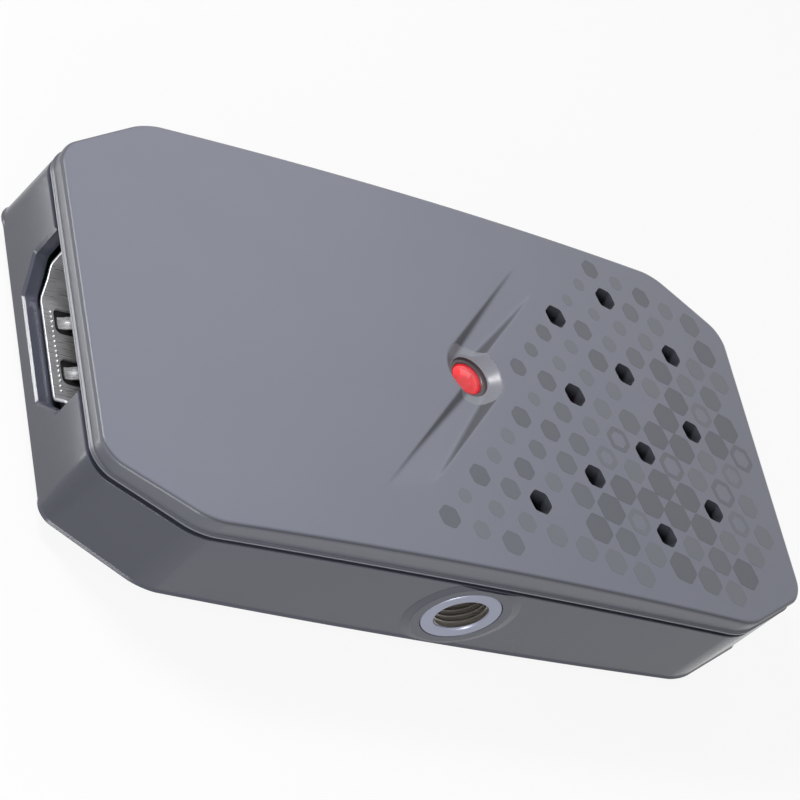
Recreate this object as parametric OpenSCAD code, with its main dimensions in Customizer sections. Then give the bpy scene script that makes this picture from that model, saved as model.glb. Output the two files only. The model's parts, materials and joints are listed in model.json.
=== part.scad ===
// Video capture box: a two-shell case with an HDMI input, a USB-C output and a tripod thread.
// The box lies on its feet with the cover face up. Millimetres, X along the case, Z up.

/* [Case] */
// Length of the case, end wall to end wall
case_l = 78; // [74:0.5:96]
// Width of the case, long side to long side
case_w = 40.4; // [39:0.2:52]
// Thickness at the middle, rear face to cover face
case_t = 12.65; // [12.4:0.05:18]
// Length of a corner cut along the case
cut_x = 8.9; // [6:0.1:10]
// Length of a corner cut across the case
cut_y = 4.8; // [3.6:0.1:6]
// Rounding where a corner cut meets an end wall
end_round = 3; // [1:0.1:4]
// Rounding where a corner cut meets a long side
side_round = 6; // [2:0.1:8]
// Drop of the cover face from its middle to its ends
face_drop = 1.55; // [0.8:0.05:1.7]
// Rise of the rear face from its middle to its ends
rear_rise = 1.1; // [0.5:0.05:1.3]
// Thickness of the side walls
wall = 1.35; // [1:0.05:1.8]
// Thickness of the rear floor
floor_t = 1.1; // [0.8:0.05:1.4]
// Thickness of the cover plate
plate_t = 1.6; // [1.2:0.05:1.9]

/* [Seam] */
// Height of the cover's side band at the middle of the case
band_h = 2.67; // [2:0.01:3]
// Drop of the seam from the middle of the case to its ends
seam_drop = 0.7; // [0.2:0.05:0.8]
// Open gap between the cover and the rear shell
seam_gap = 0.3; // [0.1:0.05:0.5]
// Height of the thin lip along the lower edge of the cover
lip_h = 0.35; // [0.2:0.05:0.6]
// How far that lip stands out of the side wall
lip_out = 0.14; // [0.05:0.01:0.3]
// Thickness of the cover's locating skirt
skirt_t = 0.8; // [0.6:0.05:1]
// How far the skirt reaches below the cover's edge
skirt_h = 0.9; // [0.5:0.05:1.2]

/* [Cover face] */
// Place of the status light along the case
light_x = 1.25; // [-2:0.05:4]
// Place of the status light across the case
light_y = 0.86; // [-2:0.02:2]
// Radius of the light's recess at the face
recess_r = 3.1; // [2.6:0.1:4]
// Radius of the recess at its bottom
recess_floor_r = 2.1; // [1.8:0.05:2.5]
// Depth of the recess
recess_h = 1.2; // [0.8:0.05:1.3]
// Depth of the sloping wall in the upper part of the recess
recess_slope = 0.65; // [0.3:0.05:0.8]
// Direction of the two sloping grooves, from the length of the case
groove_a = 47.8; // [35:0.1:60]
// Depth of a groove where it starts at the light
groove_h = 0.9; // [0.4:0.05:1.1]
// Width of a groove
groove_w = 2.85; // [2:0.05:3.5]
// Length of the upper groove
upper_l = 15.3; // [10:0.1:17]
// Offset of the upper groove's near edge from the light's centre
upper_off = 0.4; // [0:0.05:1.5]
// Length of the lower groove
lower_l = 18; // [10:0.1:18]
// Overlap of the lower groove's near edge past the light's centre
lower_off = 0.06; // [0:0.02:1]

/* [Vents] */
// Spacing of the honeycomb that the vents lie on
comb_pitch = 3.4; // [3:0.1:4]
// Width of a vent across its flats
vent_w = 2.3; // [1.8:0.1:2.6]
// Clear strip between the lower groove and the vents
vent_edge = 1.6; // [1:0.1:4]
// Clear rim between a vent's centre and the edge of the cover
vent_rim = 4.6; // [4.2:0.1:7]

/* [HDMI socket] */
// Width of the opening on its wide side
hdmi_w = 14; // [13.9:0.05:14.1]
// Width of the opening on its narrow side
hdmi_narrow = 10; // [9:0.1:11]
// Height of the opening
hdmi_h = 4.55; // [4.45:0.05:4.65]
// Height of the opening's straight upper sides
hdmi_straight = 2.4; // [2:0.05:3]
// Sheet thickness of the metal shell
hdmi_wall = 0.3; // [0.2:0.05:0.35]
// Length of the metal shell
hdmi_l = 11; // [10:0.1:12]
// Distance from the mouth to the tip of the tongue
hdmi_tip = 2.3; // [1.5:0.1:3]
// Width of the tongue
hdmi_tongue_w = 10.4; // [10:0.1:11]
// Thickness of the tongue
hdmi_tongue_t = 1.2; // [1:0.05:1.5]
// Half width of the case cut-out on its wide side
port_half = 8; // [7.8:0.05:9]
// Half width of the case cut-out on its narrow side
port_narrow = 5.4; // [5.2:0.05:7]
// Height of the cut-out's chamfered corners
port_chamfer = 2.46; // [1:0.02:3]
// Clear height under the metal shell in the cut-out
port_drop = 0.3; // [0.2:0.05:0.6]
// Width of the knee between a straight side and a chamfer, on the socket and on the cut-out
knee_w = 0.85; // [0.4:0.05:1.2]
// Height of that knee
knee_h = 0.67; // [0.3:0.01:0.9]

/* [USB-C socket] */
// Width of the metal shell
usb_w = 8.94; // [8.8:0.02:9.1]
// Height of the metal shell
usb_h = 3.26; // [3.1:0.02:3.4]
// Sheet thickness of the metal shell
usb_wall = 0.3; // [0.2:0.05:0.35]
// Length of the metal shell
usb_l = 7.35; // [6.5:0.05:8]
// How deep the mouth lies under the end wall
usb_inset = 0.3; // [0.1:0.05:0.6]
// Clear space round the shell in the case cut-out
usb_clear = 0.3; // [0.2:0.05:0.6]

/* [Tripod thread] */
// Radius of the threaded hole at its crests
thread_r = 2.5; // [2.4:0.05:2.6]
// Radius of the metal insert
insert_r = 3.7; // [3.4:0.05:3.9]
// Length of the metal insert
insert_l = 7; // [5:0.1:8]
// Chamfer at the mouth of the hole
insert_chamfer = 0.4; // [0.2:0.05:0.6]
// Height of the insert's axis over the middle of the rear shell's side
insert_lift = 0.26; // [0:0.02:0.4]
// Plastic round the insert inside the case
boss_t = 0.75; // [0.6:0.05:0.8]
// How far the raised ring stands out of the side wall
ring_h = 0.28; // [0.1:0.02:0.6]
// Plastic round the insert at the top of the raised ring
ring_top = 0.95; // [0.3:0.05:1.1]
// Plastic round the insert at the foot of the raised ring
ring_foot = 1.75; // [1.15:0.05:2]

/* [Screws and feet] */
// Distance of the case screws from the end walls
screw_end = 10; // [9:0.1:12]
// Distance of the case screws from the long sides
screw_side = 5; // [4.6:0.1:6.5]
// Radius of a case screw's thread
screw_r = 0.95; // [0.8:0.05:1.1]
// Length of a case screw under its head
screw_l = 6; // [4.5:0.1:7]
// Radius of a case screw's head
screw_head_r = 1.8; // [1.6:0.05:2]
// Height of a case screw's head
screw_head_h = 1.2; // [0.8:0.05:1.3]
// Plastic round a screw's head in its tower
tower_t = 0.65; // [0.5:0.05:0.9]
// Plastic between a screw's head and the top of its tower
tower_land = 2.05; // [1.5:0.05:2.4]
// Radius of a rubber foot
foot_r = 3.5; // [2.5:0.1:4]
// Height of the feet under the middle of the rear face
foot_h = 0.5; // [0.3:0.05:1]
// Depth of a foot's pocket in the rear face
foot_pocket = 0.35; // [0.2:0.05:0.5]
// Distance of the feet's centres from the end walls
foot_end = 16.5; // [16:0.1:22]
// Distance of the feet's centres from the long sides
foot_side = 8.2; // [7.7:0.1:11]

/* [Circuit board] */
// Thickness of the circuit board
board_t = 0.8; // [0.8:0.05:1.2]
// Clear space between the board and the case walls
board_clear = 0.4; // [0.3:0.05:0.8]
// Clear height between the board's ends and the floor
board_gap = 0.1; // [0.1:0.05:0.4]
// Distance of the board's posts from the end walls
post_end = 21; // [20:0.1:22]
// Distance of the board's posts from the long sides
post_side = 6; // [5.6:0.1:6.4]
// Radius of a post
post_r = 2; // [1.8:0.1:2.2]
// Radius of a board screw's thread
board_screw_r = 0.75; // [0.6:0.05:0.85]
// Radius of a board screw's head
board_screw_head_r = 1.6; // [1.4:0.05:1.8]
// Height of a board screw's head
board_screw_head_h = 0.8; // [0.6:0.05:1]

/* [Parts on the board] */
// Side of the video processor
cpu_w = 12; // [10:0.5:14]
// Height of the video processor
cpu_h = 1.2; // [1:0.05:1.3]
// Thickness of the thermal pad
pad_t = 0.8; // [0.6:0.05:1]
// Side of the heatsink
sink_w = 22; // [18:0.5:23]
// Thickness of the heatsink's base
sink_base = 1.4; // [1:0.1:2]
// Thickness of a heatsink fin
fin_t = 0.9; // [0.6:0.05:1.2]
// Spacing of the heatsink fins
fin_pitch = 2.2; // [1.8:0.1:3]
// Side of the HDMI receiver chip
rx_w = 9; // [7:0.5:9]
// Height of the HDMI receiver chip
rx_h = 0.9; // [0.7:0.05:1.2]
// Length of the memory chip
ram_l = 9; // [8:0.1:10]
// Width of the memory chip
ram_w = 7.5; // [6:0.1:8]
// Height of the memory chip
ram_h = 0.8; // [0.6:0.05:1.2]
// Length of the program memory chip
flash_l = 5; // [4:0.1:6]
// Width of the program memory chip
flash_w = 4; // [3:0.1:5]
// Height of the program memory chip
flash_h = 0.8; // [0.6:0.05:1.2]
// Side of a power inductor
coil_w = 4; // [3:0.1:4.5]
// Height of a power inductor
coil_h = 1.8; // [1.2:0.1:1.9]
// Spacing of parts that stand in rows on the board
row_pitch = 2.2; // [2:0.1:2.6]

/* [Fits] */
// Clear space between the skirt and the rear shell's wall
skirt_fit = 0.1; // [0.05:0.01:0.2]
// Radial space round screws, pegs and the light pipe
hole_fit = 0.05; // [0.03:0.01:0.1]
// Radial space round the thread insert
insert_fit = 0.02; // [0.01:0.01:0.05]
// Free space between parts that stand near each other
air = 0.4; // [0.3:0.05:0.5]

/* [Hidden] */

// Curve quality, and a small depth by which joined shapes sink into each other
$fn = 64;
arc_fn = 1440;
corner_steps = 6;
sink = 0.2;
// Depth by which a cutter overshoots what it cuts
over = 1;
// A depth that reaches past any part of the case
far = case_t + case_w;

// Corner cuts: direction of their outward normal, and its distance from the centre
cut_n = [cut_y, cut_x] / norm([cut_x, cut_y]);
cut_a = atan2(cut_n.y, cut_n.x);
cut_c = cut_n.x * case_l / 2 + cut_n.y * (case_w / 2 - cut_y);
least_round = 0.4;

// Crowned surfaces: radius of the arc that drops by a given height over half the case
function arc_r(drop) = (pow(case_l / 2, 2) + drop * drop) / (2 * drop);
face_r = arc_r(face_drop);
rear_r = arc_r(rear_rise);
seam_r = arc_r(seam_drop);

// Heights of the crowned surfaces at the middle of the case, and anywhere along it
z_rear = foot_h;
z_face = z_rear + case_t;
z_cover = z_face - band_h;
z_shell = z_cover - seam_gap;
function rear_z(x) = z_rear + rear_r - sqrt(pow(rear_r, 2) - x * x);
function floor_z(x) = z_rear + rear_r - sqrt(pow(rear_r - floor_t, 2) - x * x);
function face_z(x) = z_face - face_r + sqrt(face_r * face_r - x * x);
function under_z(x) = z_face - face_r + sqrt(pow(face_r - plate_t, 2) - x * x);

// Skirt and board outlines, as insets from the outer wall
skirt_out = wall + skirt_fit;
skirt_in = skirt_out + skirt_t;
board_in = wall + board_clear;

// Places of the case screws, the feet and the board's posts
screw_x = case_l / 2 - screw_end;
screw_y = case_w / 2 - screw_side;
foot_x = case_l / 2 - foot_end;
foot_y = case_w / 2 - foot_side;
post_x = case_l / 2 - post_end;
post_y = case_w / 2 - post_side;

// Circuit board
board_z = floor_z(case_l / 2 - board_in) + board_gap;
board_top = board_z + board_t;
post_hole_r = board_screw_r + hole_fit;
peg_r = 0.9;
peg_h = 0.4;
board_hole_r = peg_r + 2 * hole_fit;
post_floor = 0.3;
board_screw_l = board_top - floor_z(post_x) - post_floor;

// Case screws: seat of the head, top of the tower and end of the screw
tower_r = screw_head_r + hole_fit + tower_t;
head_inset = 0.15;
head_z = rear_z(screw_x) + screw_head_h + head_inset;
tower_z = head_z + tower_land;
drive_w = 0.5;
drive_l = 1.9;
drive_h = 0.5;

// Tripod thread
boss_r = insert_r + boss_t;
boss_end = 0.6;
axis_z = (z_rear + z_shell) / 2 + insert_lift;
ring_weld = 0.05;
ring_y = -case_w / 2 - ring_h;
boss_y = ring_y + insert_l + boss_end;

// HDMI socket: mouth on the inner face of the end wall
hdmi_x = -case_l / 2 + wall;
hdmi_back = hdmi_x + hdmi_l;
hdmi_floor = board_top + hdmi_wall;
hdmi_mid = hdmi_floor + hdmi_h / 2;
hdmi_top = hdmi_floor + hdmi_h + hdmi_wall;
hdmi_overhang = 1.2;
hdmi_block = 2;
pin_t = 0.12;
hdmi_pin_w = 0.4;
hdmi_pin_pitch = 1;
hdmi_pin_back = 0.6;
hdmi_pin_count = [10, 9];

// USB-C socket
usb_x = case_l / 2 - usb_inset;
usb_back = usb_x - usb_l;
usb_mid = board_top + usb_h / 2;
usb_tongue_w = 6.69;
usb_tongue_t = 0.7;
usb_tongue_l = 4.45;
usb_pin_w = 0.25;
usb_pin_pitch = 0.5;
usb_pin_back = 0.5;
usb_pin_count = [12, 12];
usb_tip = 0.6;
usb_root = usb_l - usb_tongue_l - usb_tip;

// Light pipe: lens in the recess, collar under the cover's pad, stem down to the lamp
lens_r = 1.6;
lens_dome = 0.5;
lens_drop = 0.1;
lens_pad_t = 1.45;
lens_pad_r = 4;
collar_r = 2.3;
collar_h = 0.8;
stem_r = 1.3;
recess_z = face_z(light_x) - recess_h;
lens_pad_z = recess_z - lens_pad_t;
led = [1.6, 0.8, 0.6];
stem_gap = 0.15;

// Heatsink over the processor, midway between the light's pad and the USB-C socket
sink_x = (light_x + lens_pad_r + usb_back) / 2;
sink_y = 1;
sink_z = board_top + cpu_h + pad_t;
fin_top = min(under_z(sink_x + sink_w / 2), under_z(sink_x - sink_w / 2)) - 2 * air;
fin_count = floor((sink_w - fin_t) / fin_pitch) + 1;

// Small parts on the board, and the room left between them
chip_room = 1;
ram_y = (light_y + lens_pad_r + case_w / 2 - board_in) / 2;
rx_x = hdmi_back + 3 * row_pitch + rx_w / 2;
crystal_size = [3.2, 2.5, 0.8];
regulator_size = [3, 3, 0.9];
regulator_y = 3.5;
capacitor_size = [0.8, 1.6, 0.8];
resistor_size = [1, 1.6, 0.45];

// Honeycomb axes of the vents, and the pick of every seventh cell
comb_a = [cos(groove_a), sin(groove_a)] * comb_pitch;
comb_b = [cos(groove_a - 60), sin(groove_a - 60)] * comb_pitch;
comb_span = ceil(case_l / comb_pitch);
vent_pick = 7;

// Outline of the case with rounded corner cuts, drawn in by a distance
function corner(v, a0, a1, r) =
    let (n0 = [cos(a0), sin(a0)], n1 = [cos(a1), sin(a1)], c = v - (n0 + n1) * r / (1 + n0 * n1))
    [for (i = [0 : corner_steps]) let (a = a0 + (a1 - a0) * i / corner_steps) c + r * [cos(a), sin(a)]];
function quarter(in) =
    let (ex = case_l / 2 - in, sy = case_w / 2 - in,
         ey = (cut_c - in - cut_n.x * ex) / cut_n.y, sx = (cut_c - in - cut_n.y * sy) / cut_n.x)
    concat(corner([ex, ey], 0, cut_a, max(end_round - in, least_round)),
           corner([sx, sy], cut_a, 90, max(side_round - in, least_round)));
function flip(pts) = [for (i = [len(pts) - 1 : -1 : 0]) pts[i]];
function outline(in) =
    let (q = quarter(in))
    concat(q, [for (p = flip(q)) [-p.x, p.y]], -q, [for (p = flip(q)) [p.x, -p.y]]);

// Distance of a point from the inside of the case outline, the shortest of its three kinds of wall
function depth_in(p) = min(case_l / 2 - abs(p.x), case_w / 2 - abs(p.y),
                           cut_c - cut_n * [abs(p.x), abs(p.y)]);

// Flat oval with round ends, for the USB-C socket
function oval(w, h) =
    concat([for (i = [0 : 2 * corner_steps]) let (a = -90 + 90 * i / corner_steps)
                [(w - h) / 2, 0] + h / 2 * [cos(a), sin(a)]],
           [for (i = [0 : 2 * corner_steps]) let (a = 90 + 90 * i / corner_steps)
                [(h - w) / 2, 0] + h / 2 * [cos(a), sin(a)]]);

// Socket outline with its narrow side down: half widths, then the heights of floor, knee and top
function socket_outline(n, w, low, step, top) =
    [[-n, low], [n, low], [w - knee_w, step - knee_h], [w, step], [w, top],
     [-w, top], [-w, step], [knee_w - w, step - knee_h]];

// HDMI outline with its narrow side down, grown all round by a sheet thickness
function hdmi_outline(grow) =
    let (top = hdmi_h / 2 + grow, low = -hdmi_h / 2 - grow, w = hdmi_w / 2 + grow,
         n = hdmi_narrow / 2 + grow / 2, step = hdmi_h / 2 - hdmi_straight - grow / 2)
    socket_outline(n, w, low, step, top);

// Vent centres: picked honeycomb cells beside the grooves, clear of the rim and the cover's bosses
function beside_grooves(p) =
    let (d = p - [light_x, light_y], along = d * [cos(groove_a), sin(groove_a)],
         right = d * [sin(groove_a), -cos(groove_a)])
    right > (along > 0 ? upper_off : groove_w - lower_off) + vent_edge;
function clear_of_bosses(p) =
    norm([abs(p.x) - screw_x, abs(p.y) - screw_y]) > tower_r + vent_w &&
    norm(p - [light_x, light_y]) > lens_pad_r + vent_w;
function cell(i, j) = [light_x, light_y] + i * comb_a + j * comb_b;
vents = [for (i = [-comb_span : comb_span], j = [-comb_span : comb_span])
            let (p = cell(i, j - 1))
            if ((i - 2 * j) % vent_pick == 0 && beside_grooves(p) && depth_in(p) > vent_rim
                && clear_of_bosses(p)) p];

// Solid under an arched surface that is highest at the middle of the case
module under_arc(z, r) translate([0, 0, z - r]) rotate([90, 0, 0])
    cylinder(r = r, h = 2 * far, center = true, $fn = arc_fn);

// Solid over an arched surface that is lowest at the middle of the case
module over_arc(z, r) translate([0, 0, z + r]) rotate([90, 0, 0])
    cylinder(r = r, h = 2 * far, center = true, $fn = arc_fn);

// Tall block on the case outline
module block(in) translate([0, 0, -far]) linear_extrude(2 * far) polygon(outline(in));

// Tube or rod along the tripod thread, from its mouth inwards
module along_thread(y0, y1, r0, r1) translate([0, y0, axis_z]) rotate([-90, 0, 0])
    cylinder(r1 = r0, r2 = r1, h = y1 - y0);

// The four corners of a rectangle
module four(x, y) for (sx = [-1, 1], sy = [-1, 1]) translate([sx * x, sy * y, 0]) children();

// A box on the board, centred in plan
module on_board(x, y, size, lift = 0)
    translate([x - size.x / 2, y - size.y / 2, board_top + lift]) cube(size);

// Cutter for a groove that slopes up from the light to the face
module groove(len, near, width, turn) {
    end = face_z(light_x + len * cos(groove_a + turn)) - z_face;
    translate([light_x, light_y, z_face]) rotate([0, 0, groove_a + turn]) translate([0, near + width, 0])
        rotate([90, 0, 0]) linear_extrude(width)
            polygon([[0, -groove_h], [len, end], [len, far], [0, far]]);
}

// Cross drive cut into a screw head, from the head's outer face upwards
module cross_drive(l) for (a = [0, 90]) rotate([0, 0, a]) translate([-l / 2, -drive_w / 2, -over])
    cube([l, drive_w, over + drive_h]);

module cover_skirt() difference() {
    intersection() { block(skirt_out); under_arc(z_cover + sink, seam_r); }
    under_arc(z_cover - skirt_h, seam_r);
    block(skirt_in);
    translate([-case_l, -port_half - air, 0])
        cube([case_l / 2 + 2 * skirt_in, 2 * (port_half + air), z_face]);
    along_thread(-case_w, boss_y + air, boss_r + air, boss_r + air);
}

module cover_lip() difference() {
    intersection() { block(-lip_out); under_arc(z_cover + lip_h, seam_r); }
    under_arc(z_cover, seam_r);
    block(wall);
}

module front_cover() color([0.53, 0.55, 0.59]) difference() {
    union() {
        difference() {
            intersection() { block(0); under_arc(z_face, face_r); }
            under_arc(z_cover, seam_r);
            intersection() { block(skirt_in); under_arc(z_face - plate_t, face_r - plate_t); }
        }
        cover_skirt();
        cover_lip();
        four(screw_x, screw_y) translate([0, 0, tower_z])
            cylinder(r = tower_r, h = under_z(screw_x - tower_r) + sink - tower_z);
        translate([light_x, light_y, lens_pad_z])
            cylinder(r = lens_pad_r, h = under_z(light_x) + sink - lens_pad_z);
    }
    four(screw_x, screw_y) translate([0, 0, tower_z - over])
        cylinder(r = screw_r + hole_fit, h = over + head_z + screw_l - tower_z + air);
    translate([hdmi_x, -port_half - air, 0]) cube([hdmi_l + air, 2 * (port_half + air), hdmi_top + air]);
    translate([light_x, light_y, recess_z]) cylinder(r = recess_floor_r, h = far);
    translate([light_x, light_y, face_z(light_x) - recess_slope])
        cylinder(r1 = recess_floor_r, r2 = recess_r, h = recess_slope);
    translate([light_x, light_y, face_z(light_x)]) cylinder(r = recess_r, h = far);
    translate([light_x, light_y, 0]) cylinder(r = lens_r + hole_fit, h = far);
    groove(upper_l, upper_off, groove_w, 0);
    groove(lower_l, -lower_off, groove_w, 180);
    for (p = vents) translate([p.x, p.y, tower_z]) rotate([0, 0, groove_a])
        cylinder(d = vent_w / cos(30), h = far, $fn = 6);
}

module hdmi_port() translate([-case_l, 0, 0]) rotate([90, 0, 90]) linear_extrude(case_l / 2 + 2 * wall)
    polygon(socket_outline(port_narrow, port_half, board_top - port_drop,
                           board_top - port_drop + port_chamfer, far));

module usb_port() translate([case_l / 2 - 2 * wall, 0, usb_mid]) rotate([90, 0, 90])
    linear_extrude(case_l) polygon(oval(usb_w + 2 * usb_clear, usb_h + 2 * usb_clear));

module thread_boss() intersection() {
    union() {
        along_thread(-case_w / 2 + wall / 2, boss_y, boss_r, boss_r);
        along_thread(ring_y, -case_w / 2 + ring_weld, insert_r + ring_top, insert_r + ring_foot);
    }
    over_arc(z_rear, rear_r);
    under_arc(z_shell, seam_r);
}

module rear_shell() color([0.40, 0.42, 0.45]) difference() {
    union() {
        difference() {
            intersection() { block(0); over_arc(z_rear, rear_r); under_arc(z_shell, seam_r); }
            intersection() { block(wall); over_arc(z_rear + floor_t, rear_r - floor_t); }
            hdmi_port();
            usb_port();
        }
        four(screw_x, screw_y) translate([0, 0, rear_z(screw_x) + floor_t / 2])
            cylinder(r = tower_r, h = tower_z - rear_z(screw_x) - floor_t / 2);
        four(post_x, post_y) translate([0, 0, rear_z(post_x) + floor_t / 2])
            cylinder(r = post_r, h = board_z - rear_z(post_x) - floor_t / 2);
        for (s = [-1, 1]) translate([s * post_x, -s * post_y, board_z - sink])
            cylinder(r = peg_r, h = sink + board_t + peg_h);
        thread_boss();
    }
    along_thread(ring_y - over, ring_y + insert_l, insert_r + insert_fit, insert_r + insert_fit);
    four(screw_x, screw_y) {
        translate([0, 0, -far]) cylinder(r = screw_head_r + hole_fit, h = far + head_z);
        cylinder(r = screw_r + 2 * hole_fit, h = far);
    }
    four(foot_x, foot_y) translate([0, 0, -far])
        cylinder(r = foot_r + hole_fit, h = far + rear_z(foot_x) + foot_pocket);
    for (s = [-1, 1]) translate([s * post_x, s * post_y, board_top - board_screw_l - hole_fit])
        cylinder(r = post_hole_r, h = far);
}

module light_pipe() color([0.9, 0.12, 0.15]) translate([light_x, light_y, 0]) {
    lens_z = recess_z - lens_drop;
    dome_r = (lens_r * lens_r + lens_dome * lens_dome) / (2 * lens_dome);
    foot_z = board_top + led.z + stem_gap;
    translate([0, 0, foot_z]) cylinder(r = stem_r, h = lens_pad_z - foot_z);
    translate([0, 0, lens_pad_z - collar_h]) cylinder(r = collar_r, h = collar_h);
    translate([0, 0, lens_pad_z - sink]) cylinder(r = lens_r, h = sink + lens_z - lens_pad_z);
    intersection() {
        translate([0, 0, lens_z - sink]) cylinder(r = lens_r, h = far);
        translate([0, 0, lens_z + lens_dome - dome_r]) sphere(r = dome_r);
    }
}

module thread_insert() color([0.62, 0.60, 0.64]) difference() {
    along_thread(ring_y, ring_y + insert_l, insert_r, insert_r);
    along_thread(ring_y - over, ring_y + insert_l + over, thread_r, thread_r);
    along_thread(ring_y, ring_y + insert_chamfer, thread_r + insert_chamfer, thread_r);
}

module rubber_feet() color([0.12, 0.12, 0.13]) four(foot_x, foot_y)
    cylinder(r = foot_r, h = rear_z(foot_x) + foot_pocket);

module case_screws() color([0.2, 0.2, 0.22]) four(screw_x, screw_y) translate([0, 0, head_z]) difference() {
    union() {
        translate([0, 0, -screw_head_h]) cylinder(r = screw_head_r, h = screw_head_h);
        cylinder(r = screw_r, h = screw_l);
    }
    translate([0, 0, -screw_head_h]) cross_drive(drive_l);
}

module board_screws() color([0.75, 0.75, 0.77])
    for (s = [-1, 1]) translate([s * post_x, s * post_y, board_top]) difference() {
        union() {
            cylinder(r = board_screw_head_r, h = board_screw_head_h);
            translate([0, 0, -board_screw_l]) cylinder(r = board_screw_r, h = board_screw_l + sink);
        }
        translate([0, 0, board_screw_head_h]) mirror([0, 0, 1]) cross_drive(drive_l);
    }

module board_plan() difference() {
    polygon(outline(board_in));
    for (sx = [0, 1], sy = [0, 1]) mirror([sx, 0]) mirror([0, sy]) translate([screw_x, screw_y]) {
        circle(r = tower_r + air);
        rotate(cut_a) translate([0, -tower_r - air]) square([case_w, 2 * (tower_r + air)]);
    }
    translate([-boss_r - air, -case_w]) square([2 * (boss_r + air), case_w + boss_y + air]);
    translate([-case_l, -port_half]) square([case_l + hdmi_x + hdmi_overhang, 2 * port_half]);
    four(post_x, post_y) circle(r = board_hole_r);
}

module circuit_board() color([0.06, 0.24, 0.16])
    translate([0, 0, board_z]) linear_extrude(board_t) board_plan();

module hdmi_sleeve(grow, x0, x1) translate([x0, 0, hdmi_mid]) rotate([90, 0, 90])
    linear_extrude(x1 - x0) polygon(hdmi_outline(grow));

module hdmi_shell() color([0.8, 0.8, 0.8]) difference() {
    hdmi_sleeve(hdmi_wall, hdmi_x, hdmi_back);
    hdmi_sleeve(0, hdmi_x - over, hdmi_back + over);
}

module hdmi_tongue() color([0.05, 0.05, 0.05]) {
    hdmi_sleeve(-hole_fit, hdmi_back - hdmi_block, hdmi_back);
    translate([hdmi_x + hdmi_tip, -hdmi_tongue_w / 2, hdmi_mid - hdmi_tongue_t / 2])
        cube([hdmi_l - hdmi_tip - hdmi_block + sink, hdmi_tongue_w, hdmi_tongue_t]);
}

// One row of contact strips on a tongue, on its upper or lower face
module pins(count, pitch, w, x0, x1, z) for (i = [0 : count - 1])
    translate([x0, (i - (count - 1) / 2) * pitch - w / 2, z]) cube([x1 - x0, w, pin_t]);

module hdmi_contacts() color([0.85, 0.66, 0.3]) {
    x0 = hdmi_x + hdmi_tip + hdmi_pin_back;
    x1 = hdmi_back - hdmi_block;
    pins(hdmi_pin_count[0], hdmi_pin_pitch, hdmi_pin_w, x0, x1, hdmi_mid + hdmi_tongue_t / 2);
    pins(hdmi_pin_count[1], hdmi_pin_pitch, hdmi_pin_w, x0, x1, hdmi_mid - hdmi_tongue_t / 2 - pin_t);
}

module usb_sleeve(grow, x0, x1) translate([x0, 0, usb_mid]) rotate([90, 0, 90])
    linear_extrude(x1 - x0) polygon(oval(usb_w + 2 * grow, usb_h + 2 * grow));

module usb_shell() color([0.78, 0.78, 0.8]) difference() {
    usb_sleeve(0, usb_back, usb_x);
    usb_sleeve(-usb_wall, usb_back - over, usb_x + over);
}

module usb_tongue() color([0.08, 0.08, 0.08]) {
    usb_sleeve(-usb_wall - hole_fit, usb_back, usb_back + usb_root);
    translate([usb_back + usb_root - sink, -usb_tongue_w / 2, usb_mid - usb_tongue_t / 2])
        cube([usb_tongue_l + sink, usb_tongue_w, usb_tongue_t]);
}

module usb_contacts() color([0.85, 0.66, 0.3]) {
    x0 = usb_back + usb_root;
    x1 = x0 + usb_tongue_l - usb_pin_back;
    pins(usb_pin_count[0], usb_pin_pitch, usb_pin_w, x0, x1, usb_mid + usb_tongue_t / 2);
    pins(usb_pin_count[1], usb_pin_pitch, usb_pin_w, x0, x1, usb_mid - usb_tongue_t / 2 - pin_t);
}

module status_led() color([0.95, 0.93, 0.85]) on_board(light_x, light_y, led);

module video_processor() color([0.1, 0.1, 0.11]) on_board(sink_x, sink_y, [cpu_w, cpu_w, cpu_h]);

module thermal_pad() color([0.6, 0.7, 0.8]) on_board(sink_x, sink_y, [cpu_w, cpu_w, pad_t], cpu_h);

module heatsink() color([0.7, 0.71, 0.73]) {
    translate([sink_x - sink_w / 2, sink_y - sink_w / 2, sink_z]) cube([sink_w, sink_w, sink_base]);
    for (i = [0 : fin_count - 1])
        translate([sink_x - sink_w / 2, sink_y + (i - (fin_count - 1) / 2) * fin_pitch - fin_t / 2, sink_z])
            cube([sink_w, fin_t, fin_top - sink_z]);
}

module hdmi_receiver() color([0.1, 0.1, 0.11]) on_board(rx_x, 0, [rx_w, rx_w, rx_h]);

module memory_chip() color([0.11, 0.11, 0.12])
    on_board(light_x, ram_y, [ram_l, ram_w, ram_h]);

module flash_chip() color([0.12, 0.12, 0.13])
    on_board(rx_x, (rx_w + flash_w) / 2 + chip_room, [flash_l, flash_w, flash_h]);

module crystal() color([0.75, 0.74, 0.7])
    on_board(rx_x, -(rx_w + crystal_size.y) / 2 - chip_room, crystal_size);

module power_inductors() color([0.25, 0.25, 0.27]) for (s = [-1, 1])
    on_board(usb_back + coil_w / 2 + air, s * (usb_w / 2 + coil_w / 2 + 2 * air), [coil_w, coil_w, coil_h]);

module voltage_regulators() color([0.13, 0.13, 0.14]) for (i = [-1, 1])
    on_board(sink_x + (cpu_w + sink_w) / 4, sink_y + i * regulator_y, regulator_size);

module capacitors() color([0.72, 0.6, 0.42]) {
    row_y = (cpu_w + capacitor_size.y) / 2 + chip_room;
    for (i = [-2 : 2], s = [-1, 1]) on_board(sink_x + i * row_pitch, sink_y + s * row_y, capacitor_size);
}

module resistor_arrays() color([0.16, 0.16, 0.18]) for (i = [-2 : 2])
    on_board(hdmi_back + row_pitch, i * row_pitch, resistor_size);

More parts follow.
